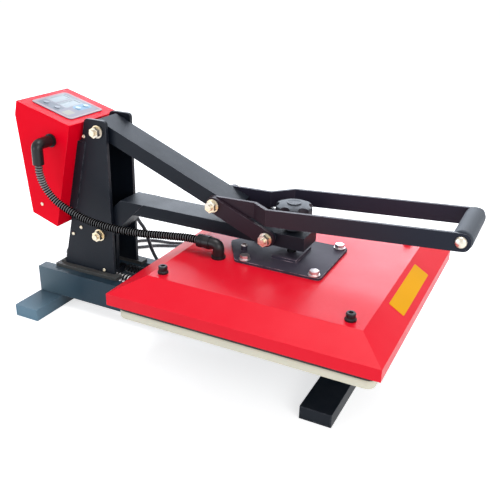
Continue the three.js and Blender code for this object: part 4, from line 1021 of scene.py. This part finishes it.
# %% [markdown]
# ## The pad
# The pad is a slab of silicone sponge under the hot plate. It starts as a cube of its size, its four
# upright corners are rounded, its edges broken, and a gentle swell stands out between its faces.

# %% Silicone pad
low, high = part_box("silicone_pad")
press_pad = slab("press_pad", high - low, (low + high) / 2)
pick_edges(press_pad, lambda a, b: abs(a.z - b.z) > 0.005)
bpy.ops.mesh.bevel(offset=0.012, segments=6, affect="EDGES")
done_editing()
pick_faces(press_pad, lambda c, d: abs(d.z) > 0.9)
bpy.ops.mesh.inset(thickness=0.006)
done_editing()
round_edges(press_pad, 0.0026, 3)
alone(press_pad)
bpy.ops.object.mode_set(mode="EDIT")
bpy.ops.mesh.select_all(action="SELECT")
bpy.ops.mesh.quads_convert_to_tris()
bpy.ops.mesh.subdivide(number_cuts=1)
bpy.ops.object.mode_set(mode="OBJECT")
finish_as(press_pad, silicone_sponge, "base")
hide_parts("silicone_pad")
print("pad size:", tuple(round(v, 3) for v in high - low))

# %% [markdown]
# ## Springs
# Two extension springs help the arm up. Each is a wire wound nearly closed. Its front end hooks round
# the anchor pin, and its rear end runs into the bar of the arm's lug. A curve follows the helix and
# both ends.

# %% The line of a spring
PIN_Z, SPRING_Z, SPRING_R, SPRING_WIRE = 60.5, 62.5, 6.0, 1.4
REAR_X, FRONT_X, PIN_X = -329.7, -224.3, -218.0
PIN_R, CLEARANCE = 6.0, 0.3
COILS = (REAR_X + 4, FRONT_X - 2)


def spring_line(y):
    turns, per_turn = 15, 18
    x0, x1 = COILS
    line = [
        at(REAR_X - 1.5, y, PIN_Z - 3), at(REAR_X + 1, y, PIN_Z - 1), at(REAR_X + 2.8, y, SPRING_Z),
    ]
    for i in range(turns * per_turn + 1):
        angle = 2 * math.pi * i / per_turn
        r = SPRING_R * min(1.0, (i + 2) / 6, (turns * per_turn - i + 2) / 6)
        x = x0 + (x1 - x0) * i / (turns * per_turn)
        line.append(at(x, y + r * math.sin(angle), SPRING_Z + r * math.cos(angle)))
    hook = PIN_R + SPRING_WIRE + CLEARANCE
    for i in range(9):
        angle = math.pi - i * math.pi * 1.5 / 8
        line.append(at(PIN_X + hook * math.cos(angle), y, PIN_Z + hook * math.sin(angle)))
    return line


print("wire in one spring:", round(line_length(spring_line(0)), 3), "m")

# %% [markdown]
# The wire is made a mesh because its two ends ride on different bodies. The near spring is bright; the
# far one is the same spring, given a black finish as painted shade. On the near one, painted shade
# darkens the inside, the underside and the far side of the turns, where an attribute is near 0, and the
# two ends are painted darker too.

# %% Springs
# The two ends get this fixed low share, so they are painted darker.
ENDS_SHARE = 0.15
# The far spring's black finish is painted shade: the real spring is bright like the near one.
for node, y, finish in (("spring_near", -18, spring_steel), ("spring_far", 18, black_oxide_and_painted_shade)):
    coilspring = wire(node + "_wound", spring_line(y), SPRING_WIRE * MM, 2)
    alone(coilspring)
    bpy.ops.object.convert(target="MESH")
    bpy.ops.object.shade_smooth()
    # This share is 1 outside, above and on the near side of the turns; where it is lower, the wire gets
    # painted shade.
    lit_share = coilspring.data.attributes.new("lit_share", "FLOAT", "POINT")
    for value, point in zip(lit_share.data, coilspring.data.vertices):
        from_middle = math.hypot(point.co.y - y * MM, point.co.z - SPRING_Z * MM) / MM
        coiled = at(COILS[0], 0, 0).x < point.co.x < at(COILS[1], 0, 0).x
        outside = min(1.0, max(0.0, (from_middle - SPRING_R) / SPRING_WIRE + 0.5))
        above = min(1.0, max(0.0, (point.co.z / MM - SPRING_Z + 4) / 2))
        near = min(1.0, max(0.0, (y + 1 - point.co.y / MM) / 2))
        value.value = outside * above * near if coiled else ENDS_SHARE
    coilspring.data.materials.append(finish)
    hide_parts(node)
    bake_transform(coilspring)
    print(coilspring.name, len(coilspring.data.polygons), "faces")

# %% [markdown]
# ## The corrugated hose
# The heater's wires run in a corrugated hose from the control box to the platen. The ribs are a
# round-topped wave along the line: a curve whose radius changes from point to point gives the whole
# hose in one tube. The wave needs points at even steps, so one helper draws a smooth line through a
# few chosen places and then walks along it in equal steps.

# %% A smooth line through chosen points
def smooth_route(places, spacing):
    """Even steps along a centripetal Catmull-Rom line through the places."""
    ends = [2 * places[0] - places[1], *places, 2 * places[-1] - places[-2]]
    dense = []
    for p0, p1, p2, p3 in zip(ends, ends[1:], ends[2:], ends[3:]):
        t = [0.0]
        for a, b in ((p0, p1), (p1, p2), (p2, p3)):
            t.append(t[-1] + max((b - a).length, 1e-9) ** 0.5)
        for k in range(40):
            s = t[1] + (t[2] - t[1]) * k / 40
            a1 = (p0 * (t[1] - s) + p1 * (s - t[0])) / (t[1] - t[0])
            a2 = (p1 * (t[2] - s) + p2 * (s - t[1])) / (t[2] - t[1])
            a3 = (p2 * (t[3] - s) + p3 * (s - t[2])) / (t[3] - t[2])
            b1 = (a1 * (t[2] - s) + a2 * (s - t[0])) / (t[2] - t[0])
            b2 = (a2 * (t[3] - s) + a3 * (s - t[1])) / (t[3] - t[1])
            dense.append((b1 * (t[2] - s) + b2 * (s - t[1])) / (t[2] - t[1]))
    dense.append(places[-1])
    reach = [0.0]
    for a, b in zip(dense, dense[1:]):
        reach.append(reach[-1] + (b - a).length)
    steps = max(2, round(reach[-1] / spacing))
    even, i = [], 0
    for k in range(steps + 1):
        goal = reach[-1] * k / steps
        while i + 2 < len(reach) and reach[i + 1] < goal:
            i += 1
        share = (goal - reach[i]) / max(reach[i + 1] - reach[i], 1e-12)
        even.append(dense[i].lerp(dense[i + 1], min(1.0, share)))
    return even


print("steps along a straight metre:", len(smooth_route([at(0, 0, 0), at(1000, 0, 0)], 0.1)) - 1)

# %% [markdown]
# The middle of the line follows the hang of the real hose. Its two ends run straight into the elbows.

# %% Hose
hose_places = [
    at(-399.83, -95, 271.2), at(-399.83, -95, 257.5), at(-395, -91, 234), at(-380, -87, 213),
    at(-358, -83, 199), at(-327, -80, 188), at(-287, -77, 182), at(-234, -70, 180),
    at(-189, -64, 183), at(-146, -60, 186.2), at(-130.3, -60, 186.2),
]
RIB, HOSE = 4.1, 6.5
WAVE = ((1.0, 1.0), (0.97, 0.7), (0.72, 0.0), (0.70, 0.0), (0.72, 0.0), (0.97, 0.7))
hose_line = smooth_route(hose_places, RIB * MM / len(WAVE))
ribs = len(hose_line) // len(WAVE)
data = bpy.data.curves.new("conduit_hose", "CURVE")
data.dimensions = "3D"
data.bevel_depth = HOSE * MM
data.bevel_resolution = 4
data.use_fill_caps = True
spline = data.splines.new("POLY")
spline.points.add(len(hose_line) - 1)
for i, (point, place) in enumerate(zip(spline.points, hose_line)):
    point.co = (*place, 1)
    point.radius = WAVE[i % len(WAVE)][0]
conduit_hose = placed("conduit_hose", data)
alone(conduit_hose)
bpy.ops.object.convert(target="MESH")
bpy.ops.object.shade_smooth_by_angle(angle=math.radians(70))
crest = conduit_hose.data.attributes.new("crest", "FLOAT", "POINT")
round_count = len(conduit_hose.data.vertices) // len(hose_line)
for i, value in enumerate(crest.data):
    value.value = WAVE[i // round_count % len(WAVE)][1]
conduit_hose.data.materials.append(hose_plastic)
print("points in a round:", round_count, "left over:", len(crest.data) - round_count * len(hose_line))
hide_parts("hose")
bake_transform(conduit_hose)
print("ribs:", ribs, "hose length:", round(line_length(hose_line), 3), "m")

# %% [markdown]
# ## Insulation
# Between the hot plate and the cover lies a batt of mineral fibre. It hardly shows, but through the
# gap round the plate a plain block would look wrong, so it is a subdivided slab with a soft, uneven
# surface. The random moves are seeded, so that each run gives the same batt.

# %% Fibre batt
low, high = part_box("insulation")
insulation_batt = slab("insulation_batt", (high - low) * 0.985, (low + high) / 2)
pick_faces(insulation_batt, lambda c, d: True)
bpy.ops.mesh.subdivide(number_cuts=14)
done_editing()
UNEVEN = 0.0008
dice = random.Random(7)
for point in insulation_batt.data.vertices:
    point.co += Vector((dice.uniform(-1, 1), dice.uniform(-1, 1), dice.uniform(-1, 0.2))) * UNEVEN
alone(insulation_batt)
bpy.ops.object.shade_smooth()
finish_as(insulation_batt, fibre_batt, "platen")
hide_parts("insulation")
print("batt faces:", len(insulation_batt.data.polygons))

# %% [markdown]
# ## The soft lengths
# The lead and the hose are flexible lengths.

# %% Flexible lengths
print("flexible lengths:", mains_lead.name, conduit_hose.name)

# %% [markdown]
# ## Floor, backdrop and light
# A catalogue picture has no horizon: floor and background are one white. The floor keeps the shadow
# and adds a little light of its own, but only for the camera, for reflections and through glass, so
# the press itself is lit at a plain level. Large soft boxes give the long pale bands on the tubes.

# %% Floor
def seen_by_eye(nodes, links):
    """Gives 1 for the camera, for reflections and through glass, and 0 for the light on the press."""
    ray = nodes.new("ShaderNodeLightPath").outputs
    seen = maths(nodes, links, "MAXIMUM", ray["Is Camera Ray"], ray["Is Glossy Ray"])
    return maths(nodes, links, "MAXIMUM", seen, ray["Is Transmission Ray"])


bpy.ops.object.select_all(action="DESELECT")
bpy.ops.mesh.primitive_plane_add(size=30, location=(0, 0, -0.0002))
floor = called("studio_floor")
paper, nodes, links, surface = new_finish("studio_paper", (0.88, 0.88, 0.89), 0.9)
surface.inputs["Specular IOR Level"].default_value = 0.0
FLOOR_GLOW = 0.66
glow = maths(nodes, links, "MULTIPLY", seen_by_eye(nodes, links), FLOOR_GLOW)
links.new(glow, surface.inputs["Emission Strength"])
surface.inputs["Emission Color"].default_value = (1, 1, 1, 1)
floor.data.materials.append(paper)
print("floor:", floor.name)

# %% [markdown]
# The world is white too. It looks full white to the eye and lights the press at less than half of
# that, so that the shadows and the dark tubes keep their depth.

# %% World
world = bpy.data.worlds.new("studio_world")
scene.world = world
world.use_nodes = True
nodes, links = world.node_tree.nodes, world.node_tree.links
sky = nodes["Background"]
sky.inputs["Color"].default_value = (1, 1, 1, 1)
strength = ramp_between(nodes, links, seen_by_eye(nodes, links), 0.0, 1.0, 0.42, 1.0)
links.new(strength, sky.inputs["Strength"])
scene.view_settings.view_transform = "Standard"
print("world:", scene.world.name)

# %% [markdown]
# Five soft boxes: a large bluish one far behind and a neutral one in front make the long bands on the
# tubes, one overhead models the slopes of the cover, and two small ones open the shaded sides.

# %% Soft boxes
def soft_box(name, place, aim, width, height, power, colour=(1, 1, 1)):
    light = bpy.data.lights.new(name, "AREA")
    light.shape = "RECTANGLE"
    light.size = width
    light.size_y = height
    light.energy = power
    light.color = colour
    box = placed(name, light)
    box.location = place
    box.rotation_euler = (Vector(aim) - Vector(place)).to_track_quat("-Z", "Y").to_euler()


soft_box("overhead_box", (0.1, -0.12, 1.6), (0.05, -0.1, 0.1), 0.7, 0.7, 9.5)
soft_box("far_box", (-0.9, 2.0, 1.15), (0, 0, 0.2), 2.2, 1.0, 36, (0.78, 0.87, 1.0))
soft_box("front_far_box", (0.22, 1.8, 1.02), (0.2, 0, 0.16), 0.7, 0.5, 6, (0.92, 0.95, 1.0))
soft_box("front_box", (1.5, -1.2, 0.9), (0, 0, 0.15), 1.2, 1.0, 14)
soft_box("left_box", (-1.1, -1.7, 0.45), (-0.3, 0, 0.15), 1.3, 0.7, 8, (0.84, 0.92, 1.0))
